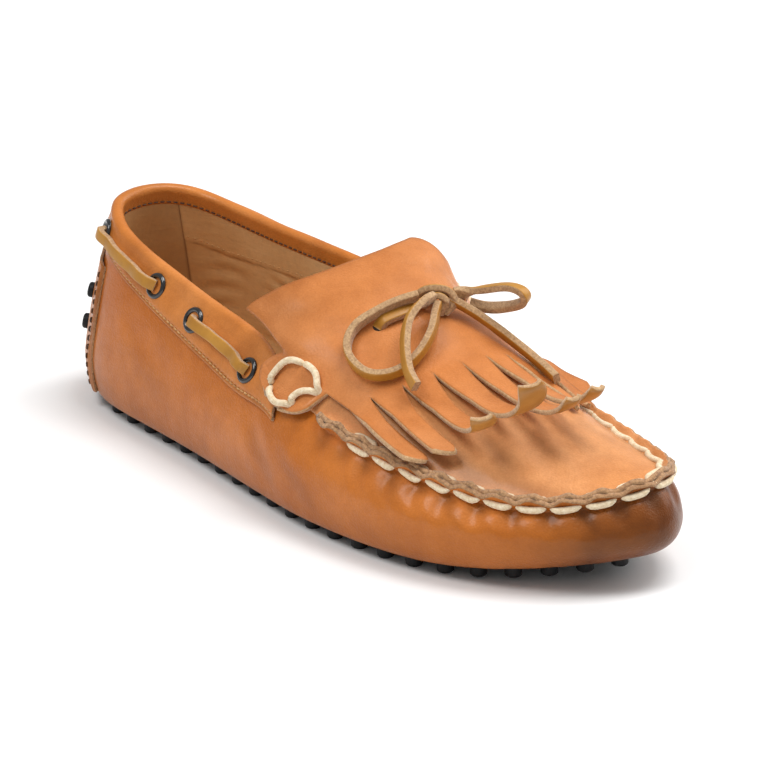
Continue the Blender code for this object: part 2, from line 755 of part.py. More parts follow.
def on_kiltie(u, a, lift=0.0):
    return skin(u, a) + facing(skin, u, a) * (kiltie_lift(u, a) + lift)


def strip_path(strip, steps=6):
    """Forward reach and height of each step along a strip, as it curls up."""
    path = []
    forward = height = 0.0
    step = strip.reach * FRINGE / steps
    for k in range(steps):
        share = (k + 0.5) / steps
        slope = math.radians(strip.rise + (strip.curl - strip.rise) * share ** 2.6)
        forward += step * math.cos(slope)
        height += step * math.sin(slope)
        path.append((forward, height, (k + 1) / steps))
    return path


def build_kiltie(finish, collection):
    """The fringed flap over the instep, one sheet with slits, curled strips and two side tabs."""
    points, faces = [], []

    def put(point):
        points.append(point)
        return len(points) - 1

    def strip_faces(first, second):
        for j in range(len(first) - 1):
            faces.append((first[j], second[j], second[j + 1], first[j + 1]))

    slits = spline(SLITS)
    columns = [slits(k / 2) for k in range(2 * len(SLITS) - 1)]
    rows = 7
    body = []
    for i in range(rows + 1):
        share = i / rows
        body.append([put(on_kiltie(rear + (root - rear) * share, a)) for a, rear, root in columns])
    for row, after in zip(body, body[1:]):
        strip_faces(row, after)
    section = (apron(10, 0.5) - apron(9, 0.5)).length
    for k, strip in enumerate(STRIPS):
        roots = columns[2 * k:2 * k + 3]
        row = body[-1][2 * k:2 * k + 3]
        outer_edge = 0 if strip.tip < 0.5 else 2
        for forward, height, share in strip_path(strip):
            after = []
            for j, (a, _, root) in enumerate(roots):
                u = root + forward / section
                gap = KILTIE_SLIT / (edge_point(u) - edge_point(2 * TIP - u)).length
                tip = strip.tip + (j - 1) * strip.half
                here = a + (tip - a) * share - (j - 1) * gap * min(1.0, 3 * share)
                tilt = strip.tilt * SEAM_HEIGHT * smooth(2 * share) * (1.0 - 0.45 * abs(j - outer_edge))
                after.append(put(on_kiltie(u, here, height + tilt)))
            strip_faces(row, after)
            row = after
    first, last = 3, 6
    for column, inner in ((0, False), (-1, True)):
        edge = [row[column] for row in body[first:last + 1]]
        for tab in TAB:
            across = 1.0 - tab.across if inner else tab.across
            after = []
            for i in range(len(edge)):
                u = tab.rear + (tab.front - tab.rear) * i / (len(edge) - 1)
                after.append(put(on_kiltie(u, across)))
            if inner:
                for i in range(len(edge) - 1):
                    faces.append((edge[i], edge[i + 1], after[i + 1], after[i]))
            else:
                for i in range(len(edge) - 1):
                    faces.append((after[i], after[i + 1], edge[i + 1], edge[i]))
            edge = after
    mesh = bpy.data.meshes.new("kiltie")
    mesh.from_pydata([tuple(p) for p in points], [], faces)
    mesh.shade_smooth()
    sheet = add_object("kiltie", mesh, finish, collection)
    wall = sheet.modifiers.new("thickness", "SOLIDIFY")
    wall.thickness = KILTIE
    wall.offset = 0.0
    return sheet


def build_tab_cords(finish, collection):
    """The light cord stitched in a ring round each side tab."""
    lift = KILTIE / 2 + GAP + CORD_RADIUS + 0.0002
    route = spline(TAB_CORD, closed=True)
    for side_name, inner in (("outer", False), ("inner", True)):
        rings = []
        spots = []
        for k in range(18):
            u, a = route(k / 2)
            a = 1.0 - a if inner else a
            spots.append((on_kiltie(u, a, lift), facing(skin, u, a)))
        for k, (point, up) in enumerate(spots):
            ahead = spots[(k + 1) % len(spots)][0] - spots[k - 1][0]
            across = ahead.cross(up).normalized()
            over = across.cross(ahead).normalized()
            ring = []
            for j in range(6):
                turn = 2 * math.pi * (j + 0.5) / 6
                ring.append(point + (across * math.cos(turn) + over * math.sin(turn)) * CORD_RADIUS)
            rings.append(ring)
        loft(f"tab_cord_{side_name}", rings, finish, collection, closed=True)


def build_instep_laces(finish, collection):
    """The thong from each hole in the kiltie to the knot."""
    lift = KILTIE / 2 + GAP + THONG_THICKNESS / 2
    for side_name, start, end in (("outer", 0.38, 0.463), ("inner", 0.70, 0.612)):
        path = []
        for k in range(5):
            a = start + (end - start) * k / 4
            u = 8.2 + 0.14 * k / 4
            path.append((on_kiltie(u, a, lift), facing(skin, u, a)))
        ribbon(f"lace_instep_{side_name}", path, THONG_WIDTH, THONG_THICKNESS, finish, collection)


def real_place(point):
    return placed(*(value / 1000 for value in point))


def cord_tube(name, route, finish, collection):
    """A round cord through its route's points."""
    smooth_route = spline([real_place(p) for p in route])
    steps = 2 * (len(route) - 1)
    curve = bpy.data.curves.new(name, "CURVE")
    curve.dimensions = "3D"
    curve.bevel_depth = BOW_RADIUS
    curve.bevel_resolution = 2
    curve.use_fill_caps = True
    line = curve.splines.new("POLY")
    line.points.add(steps)
    for k in range(steps + 1):
        line.points[k].co = (*smooth_route(k / 2), 1.0)
    return add_object(name, curve, finish, collection)


def build_bow(finish, collection):
    shape = bmesh.new()
    half = [size / 2000 for size in KNOT_SIZE]
    bmesh.ops.create_uvsphere(shape, u_segments=10, v_segments=7, radius=1.0)
    bmesh.ops.scale(shape, vec=half, verts=shape.verts)
    mesh = bpy.data.meshes.new("bow_knot")
    shape.to_mesh(mesh)
    shape.free()
    mesh.shade_smooth()
    knot = add_object("bow_knot", mesh, finish, collection)
    knot.location = real_place(KNOT_AT)
    knot.rotation_euler = (0.0, math.radians(KNOT_SLOPE), math.radians(KNOT_TURN))
    cord_tube("bow_loop_outer", OUTER_LOOP, finish, collection)
    cord_tube("bow_loop_inner", INNER_LOOP, finish, collection)
    cord_tube("bow_end_outer", OUTER_END, finish, collection)
    cord_tube("bow_end_inner", INNER_END, finish, collection)


FINISHES = {
    "tan_leather": ((0.55, 0.22, 0.07), 0.42),
    "band_leather": ((0.58, 0.24, 0.08), 0.42),
    "kiltie_leather": ((0.62, 0.28, 0.11), 0.42),
    "thong": ((0.56, 0.31, 0.08), 0.5),
    "cream_cord": ((0.82, 0.68, 0.46), 0.7),
    "eyelet": ((0.01, 0.01, 0.011), 0.25),
    "rubber": ((0.012, 0.012, 0.013), 0.6),
    "lining": ((0.60, 0.40, 0.23), 0.6),
}


def main():
    for thing in list(bpy.data.objects):
        bpy.data.objects.remove(thing, do_unlink=True)
    scene = bpy.context.scene.collection
    shoe = bpy.data.collections.new("driving_loafer")
    cutters = bpy.data.collections.new("cutters")
    scene.children.link(shoe)
    scene.children.link(cutters)
    finishes = {name: material(name, *look) for name, look in FINISHES.items()}
    build_upper(finishes["tan_leather"], shoe)
    build_sole(finishes["rubber"], shoe, cutters)
    build_insole(finishes["lining"], shoe)
    build_band(finishes["band_leather"], shoe)
    build_heel_strip(finishes["band_leather"], shoe)
    build_heel_studs(finishes["rubber"], shoe)
    build_eyelets(finishes["eyelet"], shoe)
    build_side_laces(finishes["thong"], shoe)
    build_kiltie(finishes["kiltie_leather"], shoe)
    build_tab_cords(finishes["cream_cord"], shoe)
    build_instep_laces(finishes["thong"], shoe)
    build_bow(finishes["thong"], shoe)


main()
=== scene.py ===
"""Leather driving loafer for the right foot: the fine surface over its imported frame.

The form is worked out here from the same sizes and sections as the solids: u runs from the
middle of the heel (0) along the outer side to the tip of the toe (14) and back to the heel (28).
"""
import math

import bmesh
import bpy
import numpy as np
from mathutils import Matrix, Vector


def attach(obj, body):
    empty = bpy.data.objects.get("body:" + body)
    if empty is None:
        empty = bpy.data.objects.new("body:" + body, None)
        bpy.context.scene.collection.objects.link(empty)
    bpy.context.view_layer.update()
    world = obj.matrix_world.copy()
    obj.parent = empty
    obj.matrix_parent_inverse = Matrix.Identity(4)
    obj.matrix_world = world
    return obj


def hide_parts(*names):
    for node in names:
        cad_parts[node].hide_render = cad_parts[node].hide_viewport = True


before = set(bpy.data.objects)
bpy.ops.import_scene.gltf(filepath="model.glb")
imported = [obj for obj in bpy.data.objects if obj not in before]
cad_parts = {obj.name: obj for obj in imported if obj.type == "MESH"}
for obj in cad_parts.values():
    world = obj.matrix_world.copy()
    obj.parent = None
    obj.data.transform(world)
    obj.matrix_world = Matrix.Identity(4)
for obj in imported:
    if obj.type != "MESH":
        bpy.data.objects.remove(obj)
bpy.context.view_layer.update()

bl_info = {
    "name": "Leather Driving Loafer",
    "version": (1, 0, 0),
    "blender": (4, 5, 0),
    "location": "View3D > Sidebar > Loafer",
    "description": "Builds a fringed leather driving shoe with side laces and a thong bow",
    "category": "Add Mesh",
}

# Sizes of the solids, in metres
LENGTH = 0.280
BALL_WIDTH = 0.0964
HEEL_WIDTH = 0.0668
HEEL_HEIGHT = 0.075
TOE_HEIGHT = 0.036
INSTEP_HEIGHT = 0.081
BELLY_HEIGHT = 0.020
TOE_SPRING = 0.0088
ARCH_RISE = 0.0012
HEEL_SEAT = 0.0255
WALL = 0.0018
GAP = 0.0003
TURN_UNDER = 0.0038
SEAM_WIDTH = 0.0036
SEAM_HEIGHT = 0.0044
PLATE = 0.0024
STUD_HEIGHT = 0.0043
STUD_RADIUS = 0.00295
BAND = 0.0012
HEEL_STUD_LENGTH = 0.0022
EYELET_RADIUS = 0.0049
EYELET_HOLE = 0.0029
EYELET_HEIGHT = 0.0011
KILTIE = 0.0016
KILTIE_SLIT = 0.0013
FRINGE = 0.040
FLARE = 0.0022
BELLY = 0.3

# Shares of the length where the toe begins to lift, and of the arch's middle and half length
TOE_START = 0.74
WAIST = 0.42
WAIST_REACH = 0.16

# Sections: the tip of the toe, all the way round, the last row of the rim, and where parts start
TIP = 14
ROUND = 2 * TIP
RIM_ROWS = 7
THROAT = 7.5
SEAM_START = 8.5
BAND_REACH = 7.25
FIRST_ARCH = 5

# Steps of section and level over which a direction is measured
SECTION_STEP = 0.05
LEVEL_STEP = 0.02
SEAM_STEP = 0.1

# Outline from heel to toe: ball share, outer along and side, inner along and side, turn, bulge
OUTLINE = [
    (0.0, 0.000, 0.000, 0.000, 0.000, 1.0, 1.15),
    (0.0, 0.023, -0.247, 0.020, 0.276, 1.0, 1.15),
    (0.0, 0.071, -0.418, 0.070, 0.452, 1.0, 1.2),
    (0.0, 0.139, -0.506, 0.143, 0.501, 1.0, 1.3),
    (0.0, 0.243, -0.558, 0.250, 0.476, 1.0, 1.5),
    (0.0, 0.350, -0.618, 0.350, 0.442, 1.0, 1.5),
    (0.5, 0.429, -0.553, 0.421, 0.362, 1.0, 1.5),
    (1.0, 0.500, -0.501, 0.493, 0.337, 1.0, 1.7),
    (1.0, 0.564, -0.525, 0.571, 0.405, 1.0, 2.0),
    (1.0, 0.650, -0.527, 0.664, 0.470, 1.0, 2.0),
    (1.0, 0.750, -0.498, 0.764, 0.473, 1.3, 2.0),
    (1.0, 0.854, -0.400, 0.857, 0.420, 2.0, 2.0),
    (1.0, 0.936, -0.233, 0.925, 0.342, 2.8, 2.0),
    (1.0, 0.982, -0.073, 0.973, 0.239, 3.2, 2.0),
    (1.0, 1.000, 0.093, 1.000, 0.093, 3.3, 2.0),
]

# Top edge of the wall: outer along, side and up, inner along, side and up, band depth
EDGE = [
    (0.043, 0.015, 0.993, 0.043, 0.015, 0.993, 0.170),
    (0.049, -0.127, 0.983, 0.048, 0.157, 0.991, 0.160),
    (0.073, -0.232, 0.953, 0.070, 0.292, 0.973, 0.150),
    (0.130, -0.322, 0.893, 0.121, 0.397, 0.930, 0.160),
    (0.232, -0.367, 0.813, 0.218, 0.434, 0.887, 0.190),
    (0.336, -0.404, 0.747, 0.321, 0.469, 0.853, 0.215),
    (0.421, -0.368, 0.700, 0.411, 0.404, 0.807, 0.220),
    (0.489, -0.379, 0.620, 0.486, 0.363, 0.693, 0.150),
    (0.557, -0.420, 1.153, 0.557, 0.368, 1.264, 0.130),
    (0.654, -0.425, 1.014, 0.654, 0.380, 1.111, 0.0),
    (0.754, -0.384, 0.889, 0.754, 0.373, 1.000, 0.0),
    (0.846, -0.306, 0.811, 0.846, 0.338, 0.931, 0.0),
    (0.914, -0.182, 0.828, 0.912, 0.285, 0.931, 0.0),
    (0.954, -0.036, 0.911, 0.950, 0.213, 0.958, 0.0),
    (0.966, 0.093, 0.972, 0.966, 0.093, 0.972, 0.0),
]

# Instep and apron from section 5: outer shoulder, crest and inner shoulder, side and up
ARCH = [
    (-0.284, 0.858, 0.060, 0.957, 0.359, 0.957),
    (-0.251, 0.858, 0.055, 0.960, 0.325, 0.960),
    (-0.259, 0.802, 0.073, 0.972, 0.311, 0.960),
    (-0.280, 0.704, 0.052, 0.895, 0.301, 0.815),
    (-0.280, 0.605, 0.041, 0.741, 0.270, 0.679),
    (-0.249, 0.519, 0.031, 0.617, 0.249, 0.580),
    (-0.192, 0.457, 0.031, 0.522, 0.213, 0.500),
    (-0.093, 0.427, 0.062, 0.464, 0.192, 0.457),
    (0.010, 0.432, 0.093, 0.448, 0.161, 0.444),
    (0.093, 0.432, 0.093, 0.432, 0.093, 0.432),
]

# Kiltie slits: share across, rear section, section of the root
SLITS = [
    (0.12, 5.90, 8.65), (0.21, 6.10, 8.80), (0.30, 6.35, 9.00), (0.38, 6.58, 9.15),
    (0.46, 6.80, 9.25), (0.54, 7.00, 9.30), (0.62, 7.05, 9.35), (0.70, 6.90, 9.30),
    (0.79, 6.45, 9.10), (0.88, 6.00, 8.80),
]

# Fringe strips: tip across, half width, reach, rise, curl, tilt
STRIPS = [
    (0.055, 0.056, 0.92, 0.0, 8.0, 1.15),
    (0.152, 0.054, 0.98, 2.0, 16.0, 0.40),
    (0.245, 0.051, 1.32, 4.0, 78.0, 0.0),
    (0.350, 0.060, 1.64, 7.0, 96.0, 0.0),
    (0.465, 0.054, 1.56, 4.0, 62.0, 0.0),
    (0.580, 0.052, 1.48, 4.0, 60.0, 0.0),
    (0.700, 0.046, 0.90, 0.0, 6.0, 0.0),
    (0.815, 0.046, 0.90, 0.0, 6.0, 0.45),
    (0.925, 0.046, 0.86, 0.0, 8.0, 1.25),
]

# Side tab of the kiltie: share across, rear and front section
TAB = [(0.06, 6.82, 8.18), (-0.02, 6.64, 8.10), (-0.10, 6.66, 7.92), (-0.16, 6.85, 7.60)]
TAB_HOLES = [(7.05, -0.08), (7.62, 0.15), (8.15, 0.10), (7.80, -0.06)]

# Eyelets: section and depth below the rim in HEEL_HEIGHT
EYELETS = [(2.0, 0.082), (3.8, 0.073), (4.6, 0.091), (6.1, 0.110)]

# The bow's routes, in metres from the heel back
OUTER_LOOP = [
    (0.166, 0.001, 0.075), (0.163, -0.006, 0.0735), (0.160, -0.014, 0.0705), (0.158, -0.021, 0.0665),
    (0.161, -0.027, 0.062), (0.168, -0.030, 0.0585), (0.176, -0.029, 0.0565), (0.182, -0.022, 0.058),
    (0.183, -0.013, 0.063), (0.180, -0.005, 0.068), (0.176, 0.0, 0.071), (0.1735, 0.0035, 0.0736),
]
INNER_LOOP = [
    (0.1715, 0.013, 0.0744), (0.175, 0.017, 0.0752), (0.182, 0.0205, 0.0773), (0.189, 0.0225, 0.0791),
    (0.1944, 0.0236, 0.0784), (0.1948, 0.0245, 0.0756), (0.191, 0.0247, 0.0728), (0.185, 0.0235, 0.0705),
    (0.179, 0.021, 0.0695), (0.1745, 0.0175, 0.0705),
]
OUTER_END = [
    (0.1723, 0.0022, 0.0758), (0.1735, -0.0045, 0.0756), (0.1745, -0.010, 0.073),
    (0.1775, -0.015, 0.0694), (0.182, -0.0195, 0.065), (0.188, -0.0235, 0.060), (0.194, -0.0255, 0.0565),
]
INNER_END = [
    (0.1722, 0.0095, 0.0738), (0.176, 0.013, 0.071), (0.180, 0.0165, 0.0678), (0.186, 0.020, 0.0635),
    (0.194, 0.0225, 0.059), (0.202, 0.0235, 0.0555), (0.213, 0.022, 0.0525),
]
KNOT_AT = (0.169, 0.007, 0.0738)

# The photograph's view
VIEW_AZIMUTH = 47.8
VIEW_ELEVATION = 21.0
VIEW_DISTANCE = 1.384
VIEW_AIM = (0.1145, 0.0, 0.0336)
VIEW_SHIFT = (0.00663, 0.00175)
VIEW_LENS = 184.9


# The form

def spline(rows, closed=False):
    """A cubic spline through evenly numbered rows, for a number or an array of numbers."""
    rows = np.asarray(rows, float)
    count = len(rows)
    system = 4.0 * np.eye(count) + np.eye(count, k=1) + np.eye(count, k=-1)
    if closed:
        system[0, -1] = system[-1, 0] = 1.0
        change = 3.0 * (np.roll(rows, -1, 0) - np.roll(rows, 1, 0))
    else:
        system[0, 0] = system[-1, -1] = 2.0
        padded = np.vstack([rows[:1], rows, rows[-1:]])
        change = 3.0 * (padded[2:] - padded[:-2])
    slopes = np.linalg.solve(system, change)

    def at(number):
        number = np.asarray(number, float)
        if closed:
            number = np.mod(number, count)
        first = np.clip(np.floor(number).astype(int), 0, count - (1 if closed else 2))
        second = (first + 1) % count
        r = (number - first)[..., None]
        step = rows[second] - rows[first]
        bend = slopes[first] * (1 - r) ** 2 * r - slopes[second] * r ** 2 * (1 - r)
        return rows[first] + step * r * r * (3 - 2 * r) + bend

    return at


def form_splines():
    wide = [HEEL_WIDTH + (BALL_WIDTH - HEEL_WIDTH) * row[0] for row in OUTLINE]
    outer = [(r[1] * LENGTH, r[2] * w, r[5], r[6]) for r, w in zip(OUTLINE, wide)]
    inner = [(r[3] * LENGTH, r[4] * w, r[5], r[6]) for r, w in zip(OUTLINE, wide)]
    outline = spline(outer + inner[-2:0:-1], closed=True)
    outer, inner = [], []
    for number, (r, w) in enumerate(zip(EDGE, wide)):
        high = HEEL_HEIGHT if number <= RIM_ROWS else TOE_HEIGHT
        outer.append((r[0] * LENGTH, r[1] * w, r[2] * high, r[6] * HEEL_HEIGHT))
        inner.append((r[3] * LENGTH, r[4] * w, r[5] * high, r[6] * HEEL_HEIGHT))
    edge = spline(outer + inner[-2:0:-1], closed=True)
    arches = [
        [value * (INSTEP_HEIGHT if k % 2 else w) for k, value in enumerate(r)]
        for r, w in zip(ARCH, wide[FIRST_ARCH:])
    ]
    return outline, edge, spline(arches)


OUTLINE_AT, EDGE_AT, ARCH_AT = form_splines()
ACROSS_WEIGHTS = spline(np.eye(5))


def unit(v):
    return v / np.maximum(np.linalg.norm(v, axis=-1, keepdims=True), 1e-12)


def smooth(x):
    x = np.clip(x, 0.0, 1.0)
    return x * x * (3 - 2 * x)


def bump(x, middle, half):
    """A soft hump of height 1 at middle that fades out half either side."""
    return np.exp(-(((x - middle) / half) ** 2))


def ground(along, across):
    toe = np.maximum(0.0, (along / LENGTH - TOE_START) / (1 - TOE_START))
    waist = np.minimum(1.0, np.abs(along / LENGTH - WAIST) / WAIST_REACH)
    inner = np.clip(0.5 + across / HEEL_WIDTH, 0.0, 1.0)
    arch = ARCH_RISE * np.cos(0.5 * math.pi * waist) ** 2 * inner
    return STUD_HEIGHT + TOE_SPRING * toe ** 2 + arch


def placed(along, across, up):
    return np.stack(np.broadcast_arrays(along - HEEL_SEAT, across, up), -1)


def edge_point(u):
    row = EDGE_AT(u)
    return placed(row[..., 0], row[..., 1], row[..., 2])


def base_point(u, inset, rise=0.0):
    row = OUTLINE_AT(u)
    u = np.asarray(u)
    step = OUTLINE_AT(u + SECTION_STEP) - OUTLINE_AT(u - SECTION_STEP)
    size = np.hypot(step[..., 0], step[..., 1])
    along = row[..., 0] - step[..., 1] / size * inset
    across = row[..., 1] + step[..., 0] / size * inset
    return placed(along, across, ground(along, across) + rise)


def turn_at(u):
    return OUTLINE_AT(u)[..., 2] * TURN_UNDER


def side(u, v):
    """The outer face of the side wall: v is 0 at the bottom edge and 1 at the top edge."""
    u, v = np.broadcast_arrays(np.asarray(u, float), np.asarray(v, float))
    row = OUTLINE_AT(u)
    foot = base_point(u, turn_at(u))
    belly = placed(row[..., 0], row[..., 1], BELLY_HEIGHT)
    top = edge_point(u)
    turn = 0.5 * math.pi * np.clip(v / BELLY, 0.0, 1.0)
    low = foot + (belly - foot) * np.stack([np.sin(turn), np.sin(turn), 1 - np.cos(turn)], -1)
    rise = np.clip((v - BELLY) / (1.0 - BELLY), 0.0, 1.0)
    shift = rise ** row[..., 3]
    high = belly + (top - belly) * np.stack([shift, shift, rise], -1)
    return np.where((v <= BELLY)[..., None], low, high)


def apron(u, t):
    """The instep and apron at section u: t is 0 at the outer edge and 1 at the inner edge."""
    u, t = np.broadcast_arrays(np.asarray(u, float), np.asarray(t, float))
    outer, inner = edge_point(u), edge_point(ROUND - u)
    arch = ARCH_AT(u - FIRST_ARCH)
    across = np.stack([outer[..., 1], arch[..., 0], arch[..., 2], arch[..., 4], inner[..., 1]], -1)
    up = np.stack([outer[..., 2], arch[..., 1], arch[..., 3], arch[..., 5], inner[..., 2]], -1)
    weights = ACROSS_WEIGHTS(4.0 * t)
    along = outer[..., 0] + (inner[..., 0] - outer[..., 0]) * t
    return np.stack([along, (weights * across).sum(-1), (weights * up).sum(-1)], -1)


def skin(u, a):
    """The whole form at section u: a is below 0 on the outer wall and above 1 on the inner."""
    u, a = np.broadcast_arrays(np.asarray(u, float), np.asarray(a, float))
    middle = apron(u, np.clip(a, 0.0, 1.0))
    outer = side(u, np.clip(1.0 + a, 0.0, 1.0))
    inner = side(ROUND - u, np.clip(2.0 - a, 0.0, 1.0))
    return np.where((a < 0.0)[..., None], outer, np.where((a > 1.0)[..., None], inner, middle))


def facing(surface, u, a, reach=0.03):
    along = surface(u + reach, a) - surface(u - reach, a)
    across = surface(u, a + reach) - surface(u, a - reach)
    return unit(np.cross(along, across))


def side_facing(u, v):
    along = side(u + SECTION_STEP, v) - side(u - SECTION_STEP, v)
    upward = side(u, np.minimum(1.0, v + LEVEL_STEP)) - side(u, np.maximum(0.0, v - LEVEL_STEP))
    return unit(np.cross(along, upward))


def on_side(u, v, lift):
    return side(u, v) + side_facing(u, v) * np.asarray(lift, float)[..., None]


def level_below_rim(u, depth):
    return 1.0 - (1.0 - BELLY) * depth / (edge_point(u)[..., 2] - BELLY_HEIGHT)


def mirrored(u):
    """Section u counted from the heel along its own side of the shoe."""
    return np.minimum(u, ROUND - u)


def apron_beside(u):
    """The facing of the apron just inside the seam at section u."""
    return facing(apron, np.minimum(mirrored(u), TIP - 0.3), np.where(u <= TIP, 0.06, 0.94))


def seam_facing(u):
    return unit(side_facing(u, 1.0) + apron_beside(u))


def seam_ahead(u):
    return unit(edge_point(u + SEAM_STEP) - edge_point(u - SEAM_STEP))


def wall_away(u):
    """From the seam down along the wall."""
    return unit(side(u, 0.9) - edge_point(u))


def apron_away(u):
    """From the seam towards the apron, square to the seam and along the apron's skin."""
    return unit(np.cross(apron_beside(u), seam_ahead(u)))


def square(way, axis):
    """Directions made square to an axis."""
    return unit(way - axis * (way * axis).sum(-1, keepdims=True))


def arc_length(points):
    steps = np.linalg.norm(np.diff(points, axis=0), axis=1)
    return np.concatenate([[0.0], np.cumsum(steps)])


def at_runs(at, run, rows):
    """The rows that lie at distances run, interpolated at the distances at."""
    return np.stack([np.interp(at, run, column) for column in np.asarray(rows).T], -1)


# Mesh helpers

SHARP_EDGE = 50.0
UPWARD = (0.0, 0.0, 1.0)
FORWARD = (1.0, 0.0, 0.0)


def linked(name, data):
    thing = bpy.data.objects.new(name, data)
    bpy.context.scene.collection.objects.link(thing)
    return thing


def new_piece(name, points, faces, **marks):
    """A mesh object from points and faces, with named values for its points."""
    mesh = bpy.data.meshes.new(name)
    faces = faces.tolist() if isinstance(faces, np.ndarray) else faces
    mesh.from_pydata(np.asarray(points, float).tolist(), [], faces)
    for key, values in marks.items():
        mark = mesh.attributes.new(key, "FLOAT", "POINT")
        mark.data.foreach_set("value", np.asarray(values, np.float32).ravel())
    mesh.shade_smooth()
    return linked(name, mesh)


def grid_faces(rows, columns, close_columns=False, flip=False):
    """Quads of a grid whose points are numbered row by row."""
    i, j = np.meshgrid(np.arange(rows - 1), np.arange(columns if close_columns else columns - 1),
                       indexing="ij")
    k, m = i + 1, (j + 1) % columns
    corners = [i * columns + j, k * columns + j, k * columns + m, i * columns + m]
    return np.stack(corners[::-1] if flip else corners, -1).reshape(-1, 4)


def tube_faces(rows, sides, flip=False):
    """Faces of a tube of rings, with a cap on each end."""
    last = (rows - 1) * sides
    caps = [list(range(sides))[::-1], list(range(last, last + sides))]
    return grid_faces(rows, sides, close_columns=True, flip=flip).tolist() + caps


def baked(piece):
    """The piece with its modifiers made part of its mesh."""
    graph = bpy.context.evaluated_depsgraph_get()
    mesh = bpy.data.meshes.new_from_object(piece.evaluated_get(graph))
    piece.modifiers.clear()
    piece.data = mesh
    return piece


def thicken(piece, thickness, offset=-1.0):
    """Gives a sheet its thickness: its back takes the second material and its rim the third."""
    wall = piece.modifiers.new("thickness", "SOLIDIFY")
    wall.thickness = thickness
    wall.offset = offset
    wall.material_offset = 1
    wall.material_offset_rim = 2
    return baked(piece)


def reworked(piece, change):
    """The piece after a change to its mesh, which change makes through bmesh."""
    shape = bmesh.new()
    shape.from_mesh(piece.data)
    change(shape)
    shape.to_mesh(piece.data)
    shape.free()
    return piece


def merged(piece, distance):
    return reworked(piece, lambda shape: bmesh.ops.remove_doubles(shape, verts=shape.verts, dist=distance))


def recalculated(piece):
    """The piece with its faces turned outward, smooth but for its sharp edges."""
    reworked(piece, lambda shape: bmesh.ops.recalc_face_normals(shape, faces=shape.faces))
    piece.data.shade_smooth()
    piece.data.set_sharp_from_angle(angle=math.radians(SHARP_EDGE))
    return piece


def together(name, pieces):
    """Several pieces joined into one."""
    first = pieces[0]
    with bpy.context.temp_override(active_object=first, object=first, selected_editable_objects=pieces):
        bpy.ops.object.join()
    first.name = name
    return first


def handed_in(piece, nodes):
    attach(piece, "root")
    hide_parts(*nodes)
    return piece


def sweep(path, across, upward, profile):
    """Rings of a profile along a path, each in its own two cross directions."""
    wide, high = np.asarray(profile, float).T
    return path[:, None] + across[:, None] * wide[:, None] + upward[:, None] * high[:, None]


def rounded_section(wide, thick, corner, steps=3):
    """Points round a rectangle with soft corners."""
    points = []
    half_w, half_t = wide / 2 - corner, thick / 2 - corner
    for quarter, (sx, sy) in enumerate(((1, 1), (-1, 1), (-1, -1), (1, -1))):
        for turn in 0.5 * math.pi * (quarter + np.arange(steps + 1) / steps):
            points.append((sx * half_w + corner * math.cos(turn), sy * half_t + corner * math.sin(turn)))
    return np.array(points)


# Materials

class Look:
    """A Principled material built node by node."""

    def __init__(self, name, **finish):
        self.material = bpy.data.materials.new(name)
        self.material.use_nodes = True
        self.tree = self.material.node_tree
        self.shader = self.tree.nodes["Principled BSDF"]
        self.place = self.node("ShaderNodeTexCoord", "Object", {})
        for key, value in finish.items():
            self.give(self.shader.inputs[key.replace("_", " ").title().replace("Ior", "IOR")], value)

    def give(self, socket, value):
        """Puts a number, a colour, a vector or the output of a node on a socket."""
        if isinstance(value, bpy.types.NodeSocket):
            self.tree.links.new(value, socket)
        else:
            socket.default_value = (*value, 1.0) if socket.type == "RGBA" else value

    def node(self, kind, output, inputs, **values):
        """Adds a node with its values and inputs, and gives one of its outputs."""
        node = self.tree.nodes.new(kind)
        for key, value in values.items():
            setattr(node, key, value)
        for key, value in inputs.items():
            self.give(node.inputs[key], value)
        return node.outputs[output]

    def mark(self, name):
        return self.node("ShaderNodeAttribute", "Fac", {}, attribute_name=name)

    def noise(self, scale, detail=3.0, roughness=0.5, stretch=None):
        place = self.place
        if stretch is not None:
            place = self.node("ShaderNodeMapping", "Vector", {"Vector": place, "Scale": stretch})
        inputs = {"Vector": place, "Scale": scale, "Detail": detail, "Roughness": roughness}
        return self.node("ShaderNodeTexNoise", "Fac", inputs)

    def cells(self, scale):
        return self.node("ShaderNodeTexVoronoi", "Distance", {"Vector": self.place, "Scale": scale})

    def spread(self, value, low, high, new_low=0.0, new_high=1.0):
        limits = {"From Min": low, "From Max": high, "To Min": new_low, "To Max": new_high}
        return self.node("ShaderNodeMapRange", "Result", {"Value": value, **limits})

    def tone(self, scale, low, high, detail=3.0, roughness=0.5, new_low=0.0, new_high=1.0):
        """Noise of a scale with its middle range, low to high, spread out."""
        return self.spread(self.noise(scale, detail, roughness), low, high, new_low, new_high)

    def times(self, a, b):
        return self.node("ShaderNodeMath", 0, {0: a, 1: b}, operation="MULTIPLY")

    def mix(self, share, first, second):
        return self.node("ShaderNodeMix", 2, {0: share, 6: first, 7: second}, data_type="RGBA")

    def tinted(self, colour, tint, share, strength):
        return self.mix(self.times(share, strength), colour, tint)

    def relief(self, *heights):
        """Stacks bumps of (height, metres, strength) and joins them to the shader."""
        last = None
        for height, distance, strength in heights:
            inputs = {"Height": height, "Distance": distance, "Strength": strength}
            if last is not None:
                inputs["Normal"] = last
            last = self.node("ShaderNodeBump", "Normal", inputs)
        self.give(self.shader.inputs["Normal"], last)

    def paint(self, colour, roughness):
        self.give(self.shader.inputs["Base Color"], colour)
        self.give(self.shader.inputs["Roughness"], roughness)
        return self.material


